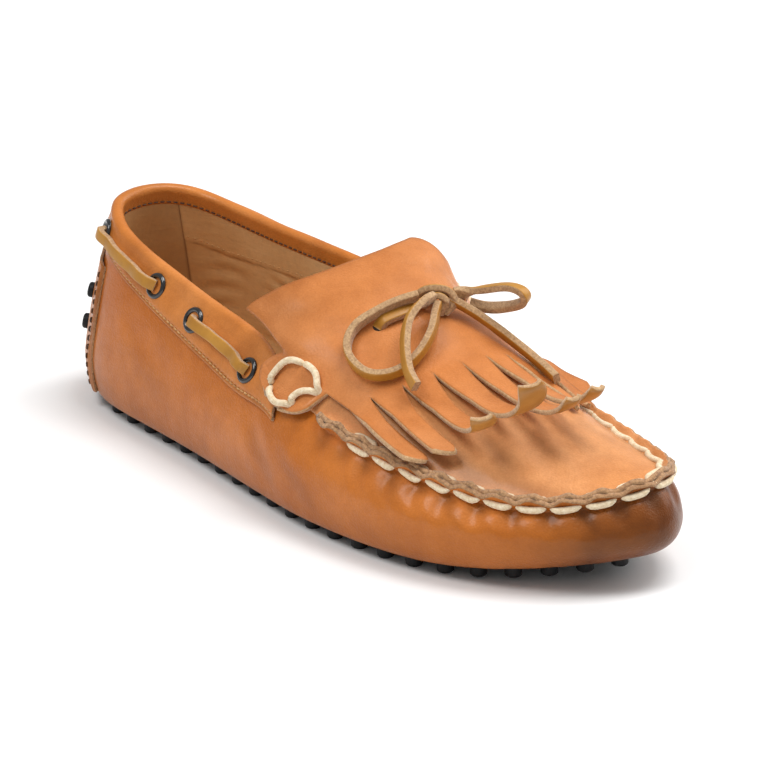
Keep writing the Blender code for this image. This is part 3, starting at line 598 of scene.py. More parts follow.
def calf_leather(name, light, middle, dark, burnish, grain=1.0):
    """Waxed tan calf: soft tone changes, a fine grain, and darker where the mark of burnish and painted shade
    says.
    """
    look = Look(name, specular_ior_level=0.30, specular_tint=(1.0, 0.72, 0.42), coat_weight=0.24,
                coat_roughness=0.20)
    pores = look.cells(1500.0)
    colour = look.mix(look.tone(16.0, 0.32, 0.68), middle, light)
    colour = look.tinted(colour, dark, look.tone(120.0, 0.3, 0.7, 4.0, 0.6), 0.26)
    colour = look.tinted(colour, dark, look.tone(38.0, 0.48, 0.72, 5.0, 0.62), 0.30)
    colour = look.tinted(colour, dark, look.spread(pores, 0.35, 0.75), 0.10)
    # The mark mixes towards the burnish colour: burnish at the toe and heel, and painted shade in folds,
    # puckers, low down and a painted cast shadow on the kiltie
    shade = look.times(look.mark("burnish"), look.tone(45.0, 0.25, 0.75, 4.0, 0.5, 0.75, 1.15))
    look.relief(
        (look.noise(60.0, 5.0, 0.62, stretch=(1.0, 0.5, 2.2)), 0.0007, 0.42),
        (look.noise(700.0, 4.0, 0.6), 0.00020 * grain, 0.75),
        (pores, 0.00014 * grain, 0.7),
    )
    return look.paint(look.mix(shade, colour, burnish), look.tone(200.0, 0.3, 0.7, 3.0, 0.5, 0.34, 0.47))


def suede(name, light, dark, fuzz=0.6):
    """A raw cut edge or flesh side: napped, speckled and matt."""
    look = Look(name, sheen_weight=0.25, sheen_roughness=0.5)
    colour = look.mix(look.tone(1100.0, 0.33, 0.62, 4.0, 0.7), dark, light)
    colour = look.tinted(colour, dark, look.tone(240.0, 0.3, 0.7), 0.35)
    look.relief(
        (look.noise(420.0, 5.0, 0.7), 0.0009 * fuzz, 0.6),
        (look.noise(1600.0, 3.0, 0.7), 0.0004 * fuzz, 0.6),
    )
    return look.paint(colour, 0.88)


def lining_leather():
    look = Look("lining")
    colour = look.mix(look.tone(30.0, 0.3, 0.7), (0.58, 0.31, 0.12), (0.72, 0.44, 0.20))
    colour = look.tinted(colour, (0.40, 0.23, 0.11), look.tone(500.0, 0.4, 0.7), 0.2)
    # Darker where the mark says: painted shade low inside the shoe and round the heel, with the burnished
    # heel counter
    colour = look.mix(look.mark("burnish"), colour, (0.16, 0.065, 0.018))
    wrinkles = look.noise(55.0, 4.0, 0.6, stretch=(1.0, 1.0, 4.0))
    look.relief((wrinkles, 0.0009, 0.45), (look.noise(900.0), 0.00012, 0.5))
    return look.paint(colour, 0.6)


def ochre_leather(name, dark, light):
    """Smooth ochre leather, a little uneven."""
    look = Look(name)
    colour = look.mix(look.tone(90.0, 0.3, 0.7, 4.0), dark, light)
    colour = look.tinted(colour, (0.38, 0.15, 0.02), look.tone(900.0, 0.45, 0.7), 0.25)
    look.relief((look.noise(600.0, 4.0), 0.0002, 0.45))
    return look.paint(colour, 0.42)


def waxed_cord(name, light, dark):
    """Cord or thread with a faint nap."""
    look = Look(name)
    fibre = look.noise(900.0, 4.0, 0.7)
    colour = look.mix(look.spread(fibre, 0.35, 0.65), dark, light)
    look.relief((look.noise(500.0, 4.0, 0.65), 0.0002, 0.5), (fibre, 0.00012, 0.6))
    return look.paint(colour, 0.75)


def black_rubber():
    look = Look("rubber", specular_ior_level=0.25)
    colour = look.mix(look.tone(300.0, 0.3, 0.7), (0.006, 0.006, 0.0065), (0.013, 0.013, 0.014))
    look.relief((look.noise(900.0, 4.0), 0.0002, 0.5))
    return look.paint(colour, look.tone(150.0, 0.3, 0.7, 3.0, 0.5, 0.42, 0.58))


def black_enamel():
    look = Look("eyelet", coat_weight=0.6, coat_roughness=0.12)
    look.relief((look.noise(500.0, 2.0), 0.00004, 0.3))
    return look.paint((0.008, 0.008, 0.009), look.tone(120.0, 0.3, 0.7, 2.0, 0.5, 0.16, 0.26))


# Near-black painted shade for the inside of a hole
def painted_hole_shade():
    look = Look("hollow")
    return look.paint(look.mix(look.noise(200.0, 2.0), (0.008, 0.005, 0.003), (0.02, 0.012, 0.006)), 0.9)


def make_looks():
    """Every finish of the shoe by name."""
    colours = bpy.context.scene.loafer_colours
    shades = tuple(colours.dark_tan), tuple(colours.burnish)
    light, middle = tuple(colours.light_tan), tuple(colours.tan)
    return {
        "upper": calf_leather("upper_leather", light, middle, *shades),
        # The apron's lighter tones are partly a paler leather and partly painted highlight, where the apron
        # faces up into the light
        "apron": calf_leather("apron_leather_and_highlight", (0.84, 0.40, 0.170), (0.74, 0.30, 0.095), *shades),
        "band": calf_leather("band_leather", (0.72, 0.27, 0.070), (0.60, 0.19, 0.030), *shades, 0.8),
        "kiltie": calf_leather("kiltie_leather", (0.70, 0.27, 0.090), (0.62, 0.205, 0.048), *shades),
        "edge": suede("cut_edge", (0.56, 0.32, 0.15), (0.24, 0.11, 0.045), 1.0),
        "pale_edge": suede("pale_cut_edge", (0.66, 0.43, 0.22), (0.38, 0.20, 0.085)),
        "flesh": suede("flesh_side", (0.55, 0.34, 0.17), (0.33, 0.18, 0.08)),
        "nap": suede("thong_nap", (0.60, 0.385, 0.195), (0.30, 0.16, 0.07)),
        "underside": ochre_leather("kiltie_underside", (0.33, 0.13, 0.018), (0.46, 0.20, 0.038)),
        "ochre": ochre_leather("ochre_thong", (0.36, 0.155, 0.014), (0.50, 0.235, 0.028)),
        "cream": waxed_cord("cream_cord", (0.86, 0.74, 0.54), (0.66, 0.50, 0.30)),
        "thread": waxed_cord("thread", (0.66, 0.38, 0.15), (0.46, 0.23, 0.08)),
        "dark_thread": waxed_cord("dark_thread", (0.10, 0.045, 0.018), (0.05, 0.02, 0.01)),
        "rubber": black_rubber(),
        "eyelet": black_enamel(),
        "lining": lining_leather(),
        "hollow": painted_hole_shade(),
    }


LOOKS = {}


def finish(name):
    if not LOOKS:
        LOOKS.update(make_looks())
    return LOOKS[name]


def dress(piece, *names):
    piece.data.materials.clear()
    for name in names:
        piece.data.materials.append(finish(name))
    return piece


# Repeated shapes

STITCH = 0.0019


def input_id(tree, name):
    for item in tree.interface.items_tree:
        if item.item_type == "SOCKET" and item.in_out == "INPUT" and item.name == name:
            return item.identifier
    raise ValueError(f"no input called {name}")


def repeat_tree():
    """Puts a copy of Shape on each point, turned by the point's angles."""
    tree = bpy.data.node_groups.new("repeat_on_points", "GeometryNodeTree")
    inputs = {"Points": "Geometry", "Shape": "Object", "Size": "Float", "Finish": "Material"}
    for name, kind in inputs.items():
        tree.interface.new_socket(name, in_out="INPUT", socket_type=f"NodeSocket{kind}")
    tree.interface.new_socket("Result", in_out="OUTPUT", socket_type="NodeSocketGeometry")
    start, end, shape, angles, turn, onto, real, painted = (tree.nodes.new(kind) for kind in (
        "NodeGroupInput", "NodeGroupOutput", "GeometryNodeObjectInfo", "GeometryNodeInputNamedAttribute",
        "FunctionNodeEulerToRotation", "GeometryNodeInstanceOnPoints", "GeometryNodeRealizeInstances",
        "GeometryNodeSetMaterial"))
    angles.data_type = "FLOAT_VECTOR"
    angles.inputs["Name"].default_value = "angles"
    for source, output, target, socket in (
        (angles, "Attribute", turn, "Euler"), (start, "Shape", shape, "Object"),
        (start, "Points", onto, "Points"), (shape, "Geometry", onto, "Instance"),
        (turn, "Rotation", onto, "Rotation"), (start, "Size", onto, "Scale"),
        (onto, "Instances", real, "Geometry"), (real, "Geometry", painted, "Geometry"),
        (start, "Finish", painted, "Material"), (painted, "Geometry", end, "Result"),
    ):
        tree.links.new(source.outputs[output], target.inputs[socket])
    return tree


def repeated(name, spots, facings, aheads, shape, finish_name):
    """One mesh with a copy of shape at every spot: its Z along facing and its X along ahead."""
    mesh = bpy.data.meshes.new(name)
    mesh.from_pydata(np.asarray(spots, float).tolist(), [], [])
    angles = []
    for facing_out, ahead in zip(facings, aheads):
        z = Vector(facing_out).normalized()
        y = z.cross(Vector(ahead)).normalized()
        angles.extend(Matrix((y.cross(z), y, z)).transposed().to_euler())
    mark = mesh.attributes.new("angles", "FLOAT_VECTOR", "POINT")
    mark.data.foreach_set("vector", angles)
    piece = linked(name, mesh)
    nodes = piece.modifiers.new("repeat", "NODES")
    tree = nodes.node_group = bpy.data.node_groups.get("repeat_on_points") or repeat_tree()
    for key, value in (("Shape", shape), ("Size", 1.0), ("Finish", finish(finish_name))):
        nodes[input_id(tree, key)] = value
    baked(piece)
    bpy.data.objects.remove(shape, do_unlink=True)
    dress(piece, finish_name)
    for face in piece.data.polygons:
        face.material_index = 0
    piece.data.shade_smooth()
    return piece


def turned_points(profile, steps):
    """Points of (radius, height) pairs turned about Z, ring by ring."""
    radius, height = np.asarray(profile, float).T[..., None]
    turn = 2 * math.pi * np.arange(steps) / steps
    rings = np.broadcast_arrays(radius * np.cos(turn), radius * np.sin(turn), height)
    return np.stack(rings, -1).reshape(-1, 3)


def turned_shape(profile, steps=24):
    """A temporary turned shape from (radius, height) pairs, bottom to top."""
    return new_piece("shape", turned_points(profile, steps), tube_faces(len(profile), steps, flip=True))


def stitch_shape(length, thick, rise=0.45, sag=0.0, dip=0.75, rows=7, sides=6):
    """A temporary stitch: a round thread that dips at both ends and may sag between them."""
    x = np.linspace(-0.5, 0.5, rows)[:, None] * length
    share = np.abs(x) / (0.5 * length)
    radius = 0.5 * thick * np.sqrt(np.clip(1.02 - share ** 6, 0.02, 1.0))
    turn = 2 * math.pi * np.arange(sides) / sides
    across = radius * np.cos(turn) - sag * (1 - share ** 2)
    height = radius * np.sin(turn) + thick * (rise - dip * share ** 4)
    points = np.stack(np.broadcast_arrays(x, across, height), -1)
    return new_piece("shape", points.reshape(-1, 3), tube_faces(rows, sides))


def stitch_row(name, row, facings, pitch, shape, finish_name):
    """Copies of a stitch evenly along a row of points."""
    run = arc_length(row)
    count = max(1, int(round(run[-1] / pitch)))
    at = (np.arange(count) + 0.5) * run[-1] / count
    aheads = unit(np.gradient(row, axis=0))
    spots, outward, onward = (at_runs(at, run, values) for values in (row, facings, aheads))
    return repeated(name, spots, unit(outward), unit(onward), shape, finish_name)


# The bow and the cords

ROUTE_POINTS = 60
ROUTE_SAMPLES = 800
THONG_CORNER = 0.0005
THONG_WAVE = 0.03
KNOT_WIDTH = 0.85
KNOT_THICKNESS = 0.9

# The bow's parts: route, far end and the way that a free end's ochre side faces
BOW = {
    "loop_outer": (OUTER_LOOP, "object", None),
    "loop_inner": (INNER_LOOP, "object", None),
    "end_outer": (OUTER_END, "bare", (-0.35, -0.75, 0.25)),
    "end_inner": (INNER_END, "bare", (-0.1, -0.8, -0.35)),
}

# The knot's wraps as the camera sees them: metres to the right, up and back from its middle
KNOT_WRAPS = [
    [(-0.0062, 0.0005, 0.0), (-0.0035, 0.0028, 0.0018), (0.0010, 0.0032, 0.0026),
     (0.0046, 0.0016, 0.0022), (0.0056, -0.0022, 0.0010), (0.0030, -0.0055, 0.0)],
    [(-0.0050, -0.0030, 0.0004), (-0.0022, -0.0004, 0.0024), (0.0010, 0.0004, 0.0034),
     (0.0028, -0.0020, 0.0026), (0.0010, -0.0058, 0.0010)],
    [(-0.0010, -0.0050, -0.0010), (0.0030, -0.0030, -0.0014), (0.0040, 0.0010, -0.0016),
     (0.0, 0.0022, -0.0020), (-0.0040, 0.0, -0.0020)],
]


def view_frame():
    """The camera's right, up and back directions."""
    turn, rise = math.radians(VIEW_AZIMUTH), math.radians(VIEW_ELEVATION)
    right = Vector((math.cos(turn), math.sin(turn), 0.0))
    back = Vector((math.sin(turn) * math.cos(rise), -math.cos(turn) * math.cos(rise), math.sin(rise)))
    return right, back.cross(right), back


def seated(points):
    """Points given from the heel back, in the scene's place."""
    return np.asarray(points) - np.array([HEEL_SEAT, 0.0, 0.0])


def smooth_route(route):
    """Evenly spaced points along a route given in metres from the heel back."""
    fine = spline(seated(route))(np.linspace(0, len(route) - 1, ROUTE_SAMPLES))
    run = arc_length(fine)
    return at_runs(np.linspace(0, run[-1], ROUTE_POINTS), run, fine)


def thong(name, path, outward, wide, thick):
    """A flat lace along a path: its ochre side faces outward, its other sides are napped."""
    ahead = unit(np.gradient(path, axis=0))
    outward = square(np.broadcast_to(outward, path.shape), ahead)
    profile = rounded_section(wide, thick, THONG_CORNER)
    run = arc_length(path)
    wave = 1.0 + THONG_WAVE * (np.sin(run / 0.0031) + np.sin(run / 0.0017 + 1.0))
    rings = sweep(path, np.cross(ahead, outward) * wave[:, None], outward, profile)
    rows, count = rings.shape[:2]
    piece = new_piece(name, rings.reshape(-1, 3), tube_faces(rows, count))
    dress(piece, "nap", "ochre")
    top = profile[:, 1] > thick / 2 - 0.6 * THONG_CORNER
    for face in piece.data.polygons:
        if len(face.vertices) == 4 and all(top[v % count] for v in face.vertices):
            face.material_index = 1
    return recalculated(piece)


def build_bow(sizes):
    """Two loops and two ends, each with its path."""
    made = []
    for name, (route, far_end, outward) in BOW.items():
        path = smooth_route(route)
        outward = unit(path - path.mean(0)) if outward is None else np.array(outward)
        piece = thong(f"thong_{name}", path, outward, sizes.thong_width, sizes.thong_thickness)
        made.append((f"bow_{name}", piece, path, far_end))
    return made


def build_knot(sizes):
    """Three short wraps of the thong round each other."""
    middle, view = seated(KNOT_AT), np.array(view_frame())
    wide, thick = sizes.thong_width * KNOT_WIDTH, sizes.thong_thickness * KNOT_THICKNESS
    pieces = []
    for points in KNOT_WRAPS:
        path = middle + spline(points)(np.linspace(0, len(points) - 1, ROUTE_POINTS // 2)) @ view
        pieces.append(thong("wrap", path, unit(path - middle + 0.2 * view[1]), wide, thick))
    return together("thong_knot", pieces)


# The upper

WALL_SECTIONS = 780
WALL_LEVELS = 60
WALL_ROWS = 34
WALL_SEAM_ROWS = 18
WALL_SEAM = 0.84
APRON_SECTIONS = 521
APRON_STEPS = 24
APRON_ROWS = 34
APRON_SEAM_ROWS = 16
APRON_SEAM = 0.3
APRON_MERGE = 0.00005
STITCH_PITCH = 0.01113
FIRST_STITCH = 0.0018
STITCH_START = 8.0
SEAM_CORD_LEVELS = (0.64, 0.34)
LIP_THICKNESS = 0.0018
LIP_STEPS = np.array([0.12, 0.28, 0.46, 0.64, 0.82, 1.0])
LEAST_LIP = 0.02
FILLET = (0.25, 0.5, 0.75)
FILLET_REACH = 0.0042
CORNER = 0.0002
WAVE = 0.0014
PUCKER = 0.00045
SEAM_DIP = 0.00045
RAGGED = 0.00022
RAGGED_FINE = 0.0002
APRON_LEAN = -0.85
BESIDE_CORD = 0.405
FAN_START = 11.6
FAN_REACH = 1.1

# Folds of the wall at the toe: section of each end, lower end's depth, width and depth in mm
TOE_FOLDS = [
    (9.15, 9.35, 13.0, 2.2, 0.30), (9.62, 9.85, 19.0, 2.6, 0.34), (10.02, 10.3, 15.0, 2.0, 0.30),
    (10.4, 10.75, 20.0, 2.6, 0.38), (10.83, 11.05, 13.0, 2.2, 0.30), (11.27, 11.5, 16.0, 2.4, 0.34),
    (11.75, 11.95, 13.0, 2.0, 0.28), (12.3, 12.5, 15.0, 2.4, 0.32), (12.95, 13.05, 11.0, 2.0, 0.26),
    (13.7, 13.75, 10.0, 2.0, 0.24), (14.6, 14.5, 11.0, 2.0, 0.26), (15.3, 15.15, 13.0, 2.2, 0.30),
    (15.95, 15.75, 14.0, 2.2, 0.30), (16.5, 16.25, 17.0, 2.4, 0.34), (17.0, 16.75, 14.0, 2.2, 0.30),
    (17.5, 17.2, 18.0, 2.4, 0.34), (18.0, 17.75, 14.0, 2.2, 0.30), (18.6, 18.4, 13.0, 2.2, 0.28),
]
TOE_FOLD_TOP = 5.0

# Folds of the flank: section and depth of each end, width and depth in mm
FLANK_FOLDS = [
    (6.6, 24.0, 7.5, 34.0, 5.0, 0.32), (7.6, 22.0, 8.7, 36.0, 4.6, 0.26), (3.4, 26.0, 4.6, 33.0, 5.0, 0.22),
    (21.4, 24.0, 20.5, 34.0, 5.0, 0.30), (20.4, 24.0, 19.3, 36.0, 4.6, 0.26),
    (24.6, 26.0, 23.4, 33.0, 5.0, 0.22),
]
FOLDS = [(first, TOE_FOLD_TOP, *rest) for first, *rest in TOE_FOLDS] + FLANK_FOLDS

EDGE_SECTIONS = np.linspace(0, ROUND, 200 * ROUND + 1)
EDGE_RUN = arc_length(edge_point(EDGE_SECTIONS))


def run_at(u):
    """Distance along the top edge from the middle of the heel to section u, in metres."""
    return np.interp(u, EDGE_SECTIONS, EDGE_RUN)


def junction(u):
    """1 where two stitches meet and 0 halfway along a stitch."""
    turn = 2 * math.pi * (run_at(u) - run_at(STITCH_START) - FIRST_STITCH) / STITCH_PITCH
    return 0.5 + 0.5 * np.cos(turn)


def seam_share(u):
    """How much of the raised seam there is at section u."""
    return smooth((mirrored(u) - SEAM_START + 0.35) / 0.25)


def folded(u, depth):
    """The folds of the wall, at a depth below its top edge in metres."""
    run, total = run_at(u), 0.0
    for first, top, last, bottom, wide, deep in FOLDS:
        start = np.array([run_at(first), top / 1000])
        way = np.array([run_at(last), bottom / 1000]) - start
        share = ((run - start[0]) * way[0] + (depth - start[1]) * way[1]) / (way @ way)
        held = np.clip(share, 0.0, 1.0)
        away = np.hypot(run - start[0] - way[0] * held, depth - start[1] - way[1] * held) / (wide / 1000)
        fade = np.exp(-((held - 0.35) / 0.6) ** 2)
        total = total - deep / 1000 * fade * (np.exp(-away ** 2) - 0.55 * np.exp(-((away - 1.7) / 0.8) ** 2))
    return total


def laid_out(lines, u, shares):
    """Lines at shares of their length: points row by row, with each one's section and share."""
    runs = [arc_length(line) for line in lines]
    grid = np.array([at_runs(shares * run[-1], run, line) for run, line in zip(runs, lines)])
    return grid.transpose(1, 0, 2).reshape(-1, 3), np.tile(u, len(shares)), np.repeat(shares, len(u))


def leaf(u, away, lean_way):
    """One leaf of the raised seam from its foot to its cut edge, and the corner at its foot."""
    share, upward = seam_share(u), seam_facing(u)
    outward = square(away, upward)
    foot = edge_point(u) + away * (0.5 * SEAM_WIDTH * share)[:, None]
    corner = foot + outward * (CORNER * share)[:, None]
    share, run = np.maximum(share, LEAST_LIP), run_at(u)
    wave = lean_way * (junction(u) - 0.5) * WAVE
    wave = wave + RAGGED * np.sin(run / 0.0011) * np.sin(run / 0.0047 + 1.3)
    ragged = RAGGED * np.sin(run / 0.0009 + 2.0 * lean_way) + RAGGED_FINE * np.sin(run / 0.0019)
    high = (SEAM_HEIGHT - SEAM_DIP * junction(u) - ragged) * share
    lean = 0.25 * np.sin(math.pi * LIP_STEPS) + 0.9 * LIP_STEPS ** 1.5
    rise = upward[:, None] * (high[:, None] * LIP_STEPS)[..., None]
    return foot[:, None] + rise + outward[:, None] * ((share * wave)[:, None] * lean)[..., None], corner


def joined(first, corner, second):
    """Two sheets of lines, with first's ends led round a corner into second's starts."""
    start, corner, end = first[:, -1:], corner[:, None], second[:, :1]
    bend = [start * (1 - r) ** 2 + 2 * r * (1 - r) * corner + end * r ** 2 for r in FILLET]
    return np.concatenate([first, *bend, second], 1)


def build_side_wall():
    u = np.linspace(0, ROUND, WALL_SECTIONS + 1)[:-1]
    share = seam_share(u)[:, None]
    row = OUTLINE_AT(u)
    high = np.linalg.norm(edge_point(u) - placed(row[..., 0], row[..., 1], BELLY_HEIGHT), axis=-1)[:, None]
    v = np.linspace(0, 1, WALL_LEVELS) * (1.0 - share * FILLET_REACH / high * (1 - BELLY))
    wide_u = np.broadcast_to(u[:, None], v.shape)
    depth = (1 - v) / (1 - BELLY) * high
    below = np.clip(depth - 0.003, 0, None)
    meet = junction(wide_u)
    relief = PUCKER * share * (0.8 * (1 - meet) * np.exp(-below / 0.006) - meet ** 2 * np.exp(-below / 0.007))
    relief = relief + folded(wide_u, depth) * smooth((v - 0.02) / 0.25)
    wall = side(wide_u, v) + side_facing(wide_u, np.clip(v, 0.02, 0.98)) * relief[..., None]
    raised, corner = leaf(u, wall_away(u), 1.0)
    shares = np.concatenate([np.linspace(0.0, WALL_SEAM, WALL_ROWS, endpoint=False),
                             np.linspace(WALL_SEAM, 1.0, WALL_SEAM_ROWS)])
    points, flat_u, level = laid_out(joined(wall, corner, raised), u, shares)
    # Towards the toe: burnished leather, with painted shade on the toe's lower side
    toe = smooth((mirrored(flat_u) - 10.9) / 2.2)
    heel = 1 - smooth(mirrored(flat_u) / 3.2)
    # Painted shade low on the wall, darker towards the ground
    low = 1 - smooth(points[:, 2] / 0.030)
    burnish = 0.10 + 0.82 * toe * (1 - 0.25 * smooth((level - 0.5) / 0.4)) + 0.20 * heel + 0.26 * low
    # Painted shade in the troughs of the folds
    fold_shade = np.clip(-folded(flat_u, (1 - level) * 0.045) * 600, 0, 0.2)
    # Painted shade in the puckers where the stitches gather below the seam
    pucker_shade = 0.25 * junction(flat_u) * seam_share(flat_u) * bump(level, WALL_SEAM, 0.10)
    faces = grid_faces(len(shares), len(u), close_columns=True, flip=True)
    piece = new_piece("side_wall", points, faces, burnish=np.clip(burnish + fold_shade + pucker_shade, 0, 0.9))
    return thicken(dress(piece, "upper", "flesh", "edge"), LIP_THICKNESS)


def fan(u, r):
    """Section and share across of a point of the apron, from the seam (r 0) to the middle line."""
    pair = mirrored(u)
    beyond = np.maximum(pair, FAN_START) - FAN_START
    held = FAN_START + FAN_REACH * (1 - np.exp(-beyond / FAN_REACH))
    middle = np.where(pair < FAN_START, pair, held)
    return pair + (middle - pair) * r, np.where(u > TIP, 1 - 0.5 * r, 0.5 * r)


def build_apron_top():
    u = np.linspace(THROAT, ROUND - THROAT, APRON_SECTIONS)
    span = np.linalg.norm(apron(*fan(u, 1.0)) - edge_point(u), axis=-1)
    start = np.clip(seam_share(u) * FILLET_REACH / np.maximum(span, 0.004), 0, 0.6)[:, None]
    r = start + (1 - start) * np.linspace(0, 1, APRON_STEPS)
    top = apron(*fan(np.broadcast_to(u[:, None], r.shape), r))
    raised, corner = leaf(u, apron_away(u), APRON_LEAN)
    shares = np.concatenate([np.linspace(0, APRON_SEAM, APRON_SEAM_ROWS, endpoint=False),
                             np.linspace(APRON_SEAM, 1, APRON_ROWS - APRON_SEAM_ROWS)])
    points, flat_u, level = laid_out(joined(raised[:, ::-1], corner, top), u, shares)
    # Darker in a band along the apron just inside the seam
    burnish = 0.05 + 0.30 * bump(level, 0.22, 0.12) * seam_share(flat_u)
    piece = new_piece("apron_top", points, grid_faces(APRON_ROWS, len(u), flip=True), burnish=burnish)
    merged(piece, APRON_MERGE)
    return thicken(dress(piece, "apron", "flesh", "edge"), LIP_THICKNESS)


def build_seam_cord(sizes):
    """Thick cream stitches along both faces of the raised seam."""
    total = run_at(ROUND - SEAM_START) - run_at(SEAM_START)
    start = run_at(STITCH_START) + FIRST_STITCH - run_at(SEAM_START)
    first = math.ceil((-start + 0.3 * STITCH_PITCH) / STITCH_PITCH)
    runs = start + STITCH_PITCH * (first + np.arange(int(total / STITCH_PITCH) + 1) + 0.5)
    runs = runs[(runs > 0) & (runs < total)]
    u = np.interp(runs + run_at(SEAM_START), EDGE_RUN, EDGE_SECTIONS)
    ahead, upward = seam_ahead(u), seam_facing(u)
    spots, facings = [], []
    for away, level in zip((wall_away(u), apron_away(u)), SEAM_CORD_LEVELS):
        facings.append(square(away, upward))
        spots.append(edge_point(u) + away * 0.5 * SEAM_WIDTH - facings[-1] * BESIDE_CORD * WAVE
                     + upward * SEAM_HEIGHT * level)
    shape = stitch_shape(STITCH_PITCH * 1.10, sizes.cord_thickness, 0.50, 0.0012, 0.85, 11, 12)
    return repeated("seam_cord", np.concatenate(spots), np.concatenate(facings),
                    np.concatenate([ahead, -ahead]), shape, "cream")


# The lining

LINING_REACH = 7.4
LINING_SECTIONS = 420
LINING_FOOT = 0.06
LINING_LEVELS = 90
LINING_LIFT = 0.00045
LINING_THICKNESS = 0.0004
PANEL_LIFT = 0.0006
WRINKLE = 0.0003
UNDER_RIM = 0.985

# Its panel seam: section of the upright, then section and level of the stitched line from there
PANEL_SEAM = 1.68
PANEL_LINE = [(1.68, 0.74), (2.9, 0.715), (3.9, 0.755), (4.95, 0.79), (7.4, 0.80)]


def panel_line(away):
    return np.interp(away, *np.transpose(PANEL_LINE))


def lining_point(u, v, lift):
    """A point of the lining, lift metres into the shoe."""
    return on_side(u, v, -WALL - LINING_LIFT - lift)


def build_lining():
    u = np.linspace(-LINING_REACH, LINING_REACH, LINING_SECTIONS)
    v = np.linspace(LINING_FOOT, UNDER_RIM, LINING_LEVELS)
    grid_v, grid_u = np.meshgrid(v, u, indexing="ij")
    away = np.abs(grid_u)
    line = panel_line(away)
    upper_panel = smooth((grid_v - line) / 0.012) * (away > PANEL_SEAM)
    heel_panel = 1 - smooth((away - PANEL_SEAM + 0.02) / 0.03)
    run = run_at(np.mod(grid_u, ROUND))
    below = (1 - upper_panel) * (1 - heel_panel)
    wrinkle = np.sin(grid_v * 62 + 3 * np.sin(run / 0.013)) * np.sin(run / 0.009 + 4 * grid_v) ** 2
    lift = PANEL_LIFT * (upper_panel + heel_panel) + (WRINKLE * wrinkle + 0.00025) * below
    seams = bump(away, PANEL_SEAM, 0.03) + 0.6 * bump(grid_v, line + 0.004, 0.004) * (away > PANEL_SEAM)
    # Painted shade inside the shoe: darker towards the bottom and across the heel panel, which is also a
    # burnished counter; darker along the panel seams too
    shade = 0.55 * heel_panel * (0.4 + 0.6 * (1 - grid_v)) + 0.7 * seams + 0.25 * below * (1 - grid_v)
    piece = new_piece("lining", lining_point(grid_u, grid_v, lift).reshape(-1, 3),
                      grid_faces(len(v), len(u)), burnish=np.clip(shade, 0, 0.85))
    return thicken(dress(piece, "lining", "flesh", "edge"), LINING_THICKNESS, 1.0)


def build_lining_stitches(sizes):
    rows = []
    for sign in (-1, 1):
        away = np.linspace(PANEL_SEAM + 0.05, LINING_REACH - 0.1, 300)
        u, v = sign * away, panel_line(away) + 0.03
        rows.append(stitch_row("row", lining_point(u, v, PANEL_LIFT), -side_facing(u, v), sizes.stitch_pitch,
                               stitch_shape(STITCH, sizes.thread), "thread"))
    return together("lining_stitches", rows)


# The collar

FAR = GAP + BAND
BAND_LEATHER = 0.0011
COLLAR_SECTIONS = 420
COLLAR_LEVELS = np.concatenate([[0.0, 0.004, 0.012], np.linspace(0.03, 1, 16)])
COLLAR_INSIDE = (0.0015, 0.003, 0.0045)
COLLAR_SHARES = np.concatenate([[0.0, 0.012, 0.025, 0.04, 0.06], np.linspace(0.08, 1, 42)])
COLLAR_PUFF = 0.0005
COLLAR_WAVE = 0.00025
STITCH_ABOVE_EDGE = 0.0016
RIM_STITCH_DEPTH = 0.0036


def collar_line(u):
    """The band across section u: from its stitched edge up, over the rim and down inside."""
    low = level_below_rim(u, EDGE_AT(u)[..., 3])
    facing_out = side_facing(u, 1.0)
    up = unit(side(u, 1.0) - side(u, 0.97))
    lines = []
    for step in COLLAR_LEVELS:
        fold = 1.0 - 0.80 * math.exp(-step / 0.005)
        puff = math.sin(math.pi * min(1.0, step * 1.25)) ** 0.7 - bump(step, 0.10, 0.035)
        lines.append(on_side(u, low + (UNDER_RIM - low) * step, FAR * fold + COLLAR_PUFF * puff))
    centre = edge_point(u) - facing_out * WALL / 2
    for turn in np.radians(np.linspace(10, 180, 14)):
        way = facing_out * math.cos(turn) + up * math.sin(turn)
        lines.append(centre + way * (WALL / 2 + FAR + 0.0003 * math.sin(turn)))
    lines += [on_side(u, level_below_rim(u, depth), -WALL - FAR) for depth in COLLAR_INSIDE]
    return np.stack(lines, 1)


def build_collar():
    u = np.linspace(-BAND_REACH, BAND_REACH, COLLAR_SECTIONS)
    points, flat_u, level = laid_out(collar_line(u), u, COLLAR_SHARES)
    run = run_at(np.mod(flat_u, ROUND))
    waves = COLLAR_WAVE * np.sin(run / 0.0045 + 3 * level) * bump(level, 0.45, 0.3)
    points = points + side_facing(flat_u, 0.9) * waves[:, None]
    # Darker just above the band's lower edge and round the back of the heel
    burnish = 0.08 + 0.22 * bump(level, 0.06, 0.05) + 0.18 * (1 - smooth(np.abs(flat_u) / 2.5))
    faces = grid_faces(len(COLLAR_SHARES), len(u), flip=True)
    piece = new_piece("collar", points, faces, burnish=burnish)
    return thicken(dress(piece, "band", "flesh", "edge"), BAND_LEATHER)


def build_collar_stitches(sizes):
    """The light row just above the band's lower edge, and a dark row inside under the rim."""
    u = np.linspace(-BAND_REACH + 0.03, BAND_REACH - 0.03, 700)
    low = level_below_rim(u, EDGE_AT(u)[..., 3] - STITCH_ABOVE_EDGE)
    under_rim = level_below_rim(u, RIM_STITCH_DEPTH)
    return [
        stitch_row(name, on_side(u, v, lift), way * side_facing(u, v), sizes.stitch_pitch,
                   stitch_shape(STITCH, sizes.thread), thread)
        for name, v, lift, way, thread in (
            ("collar_stitches", low, FAR, 1, "thread"),
            ("rim_stitches", under_rim, -WALL - FAR, -1, "dark_thread"),
        )
    ]


# The heel

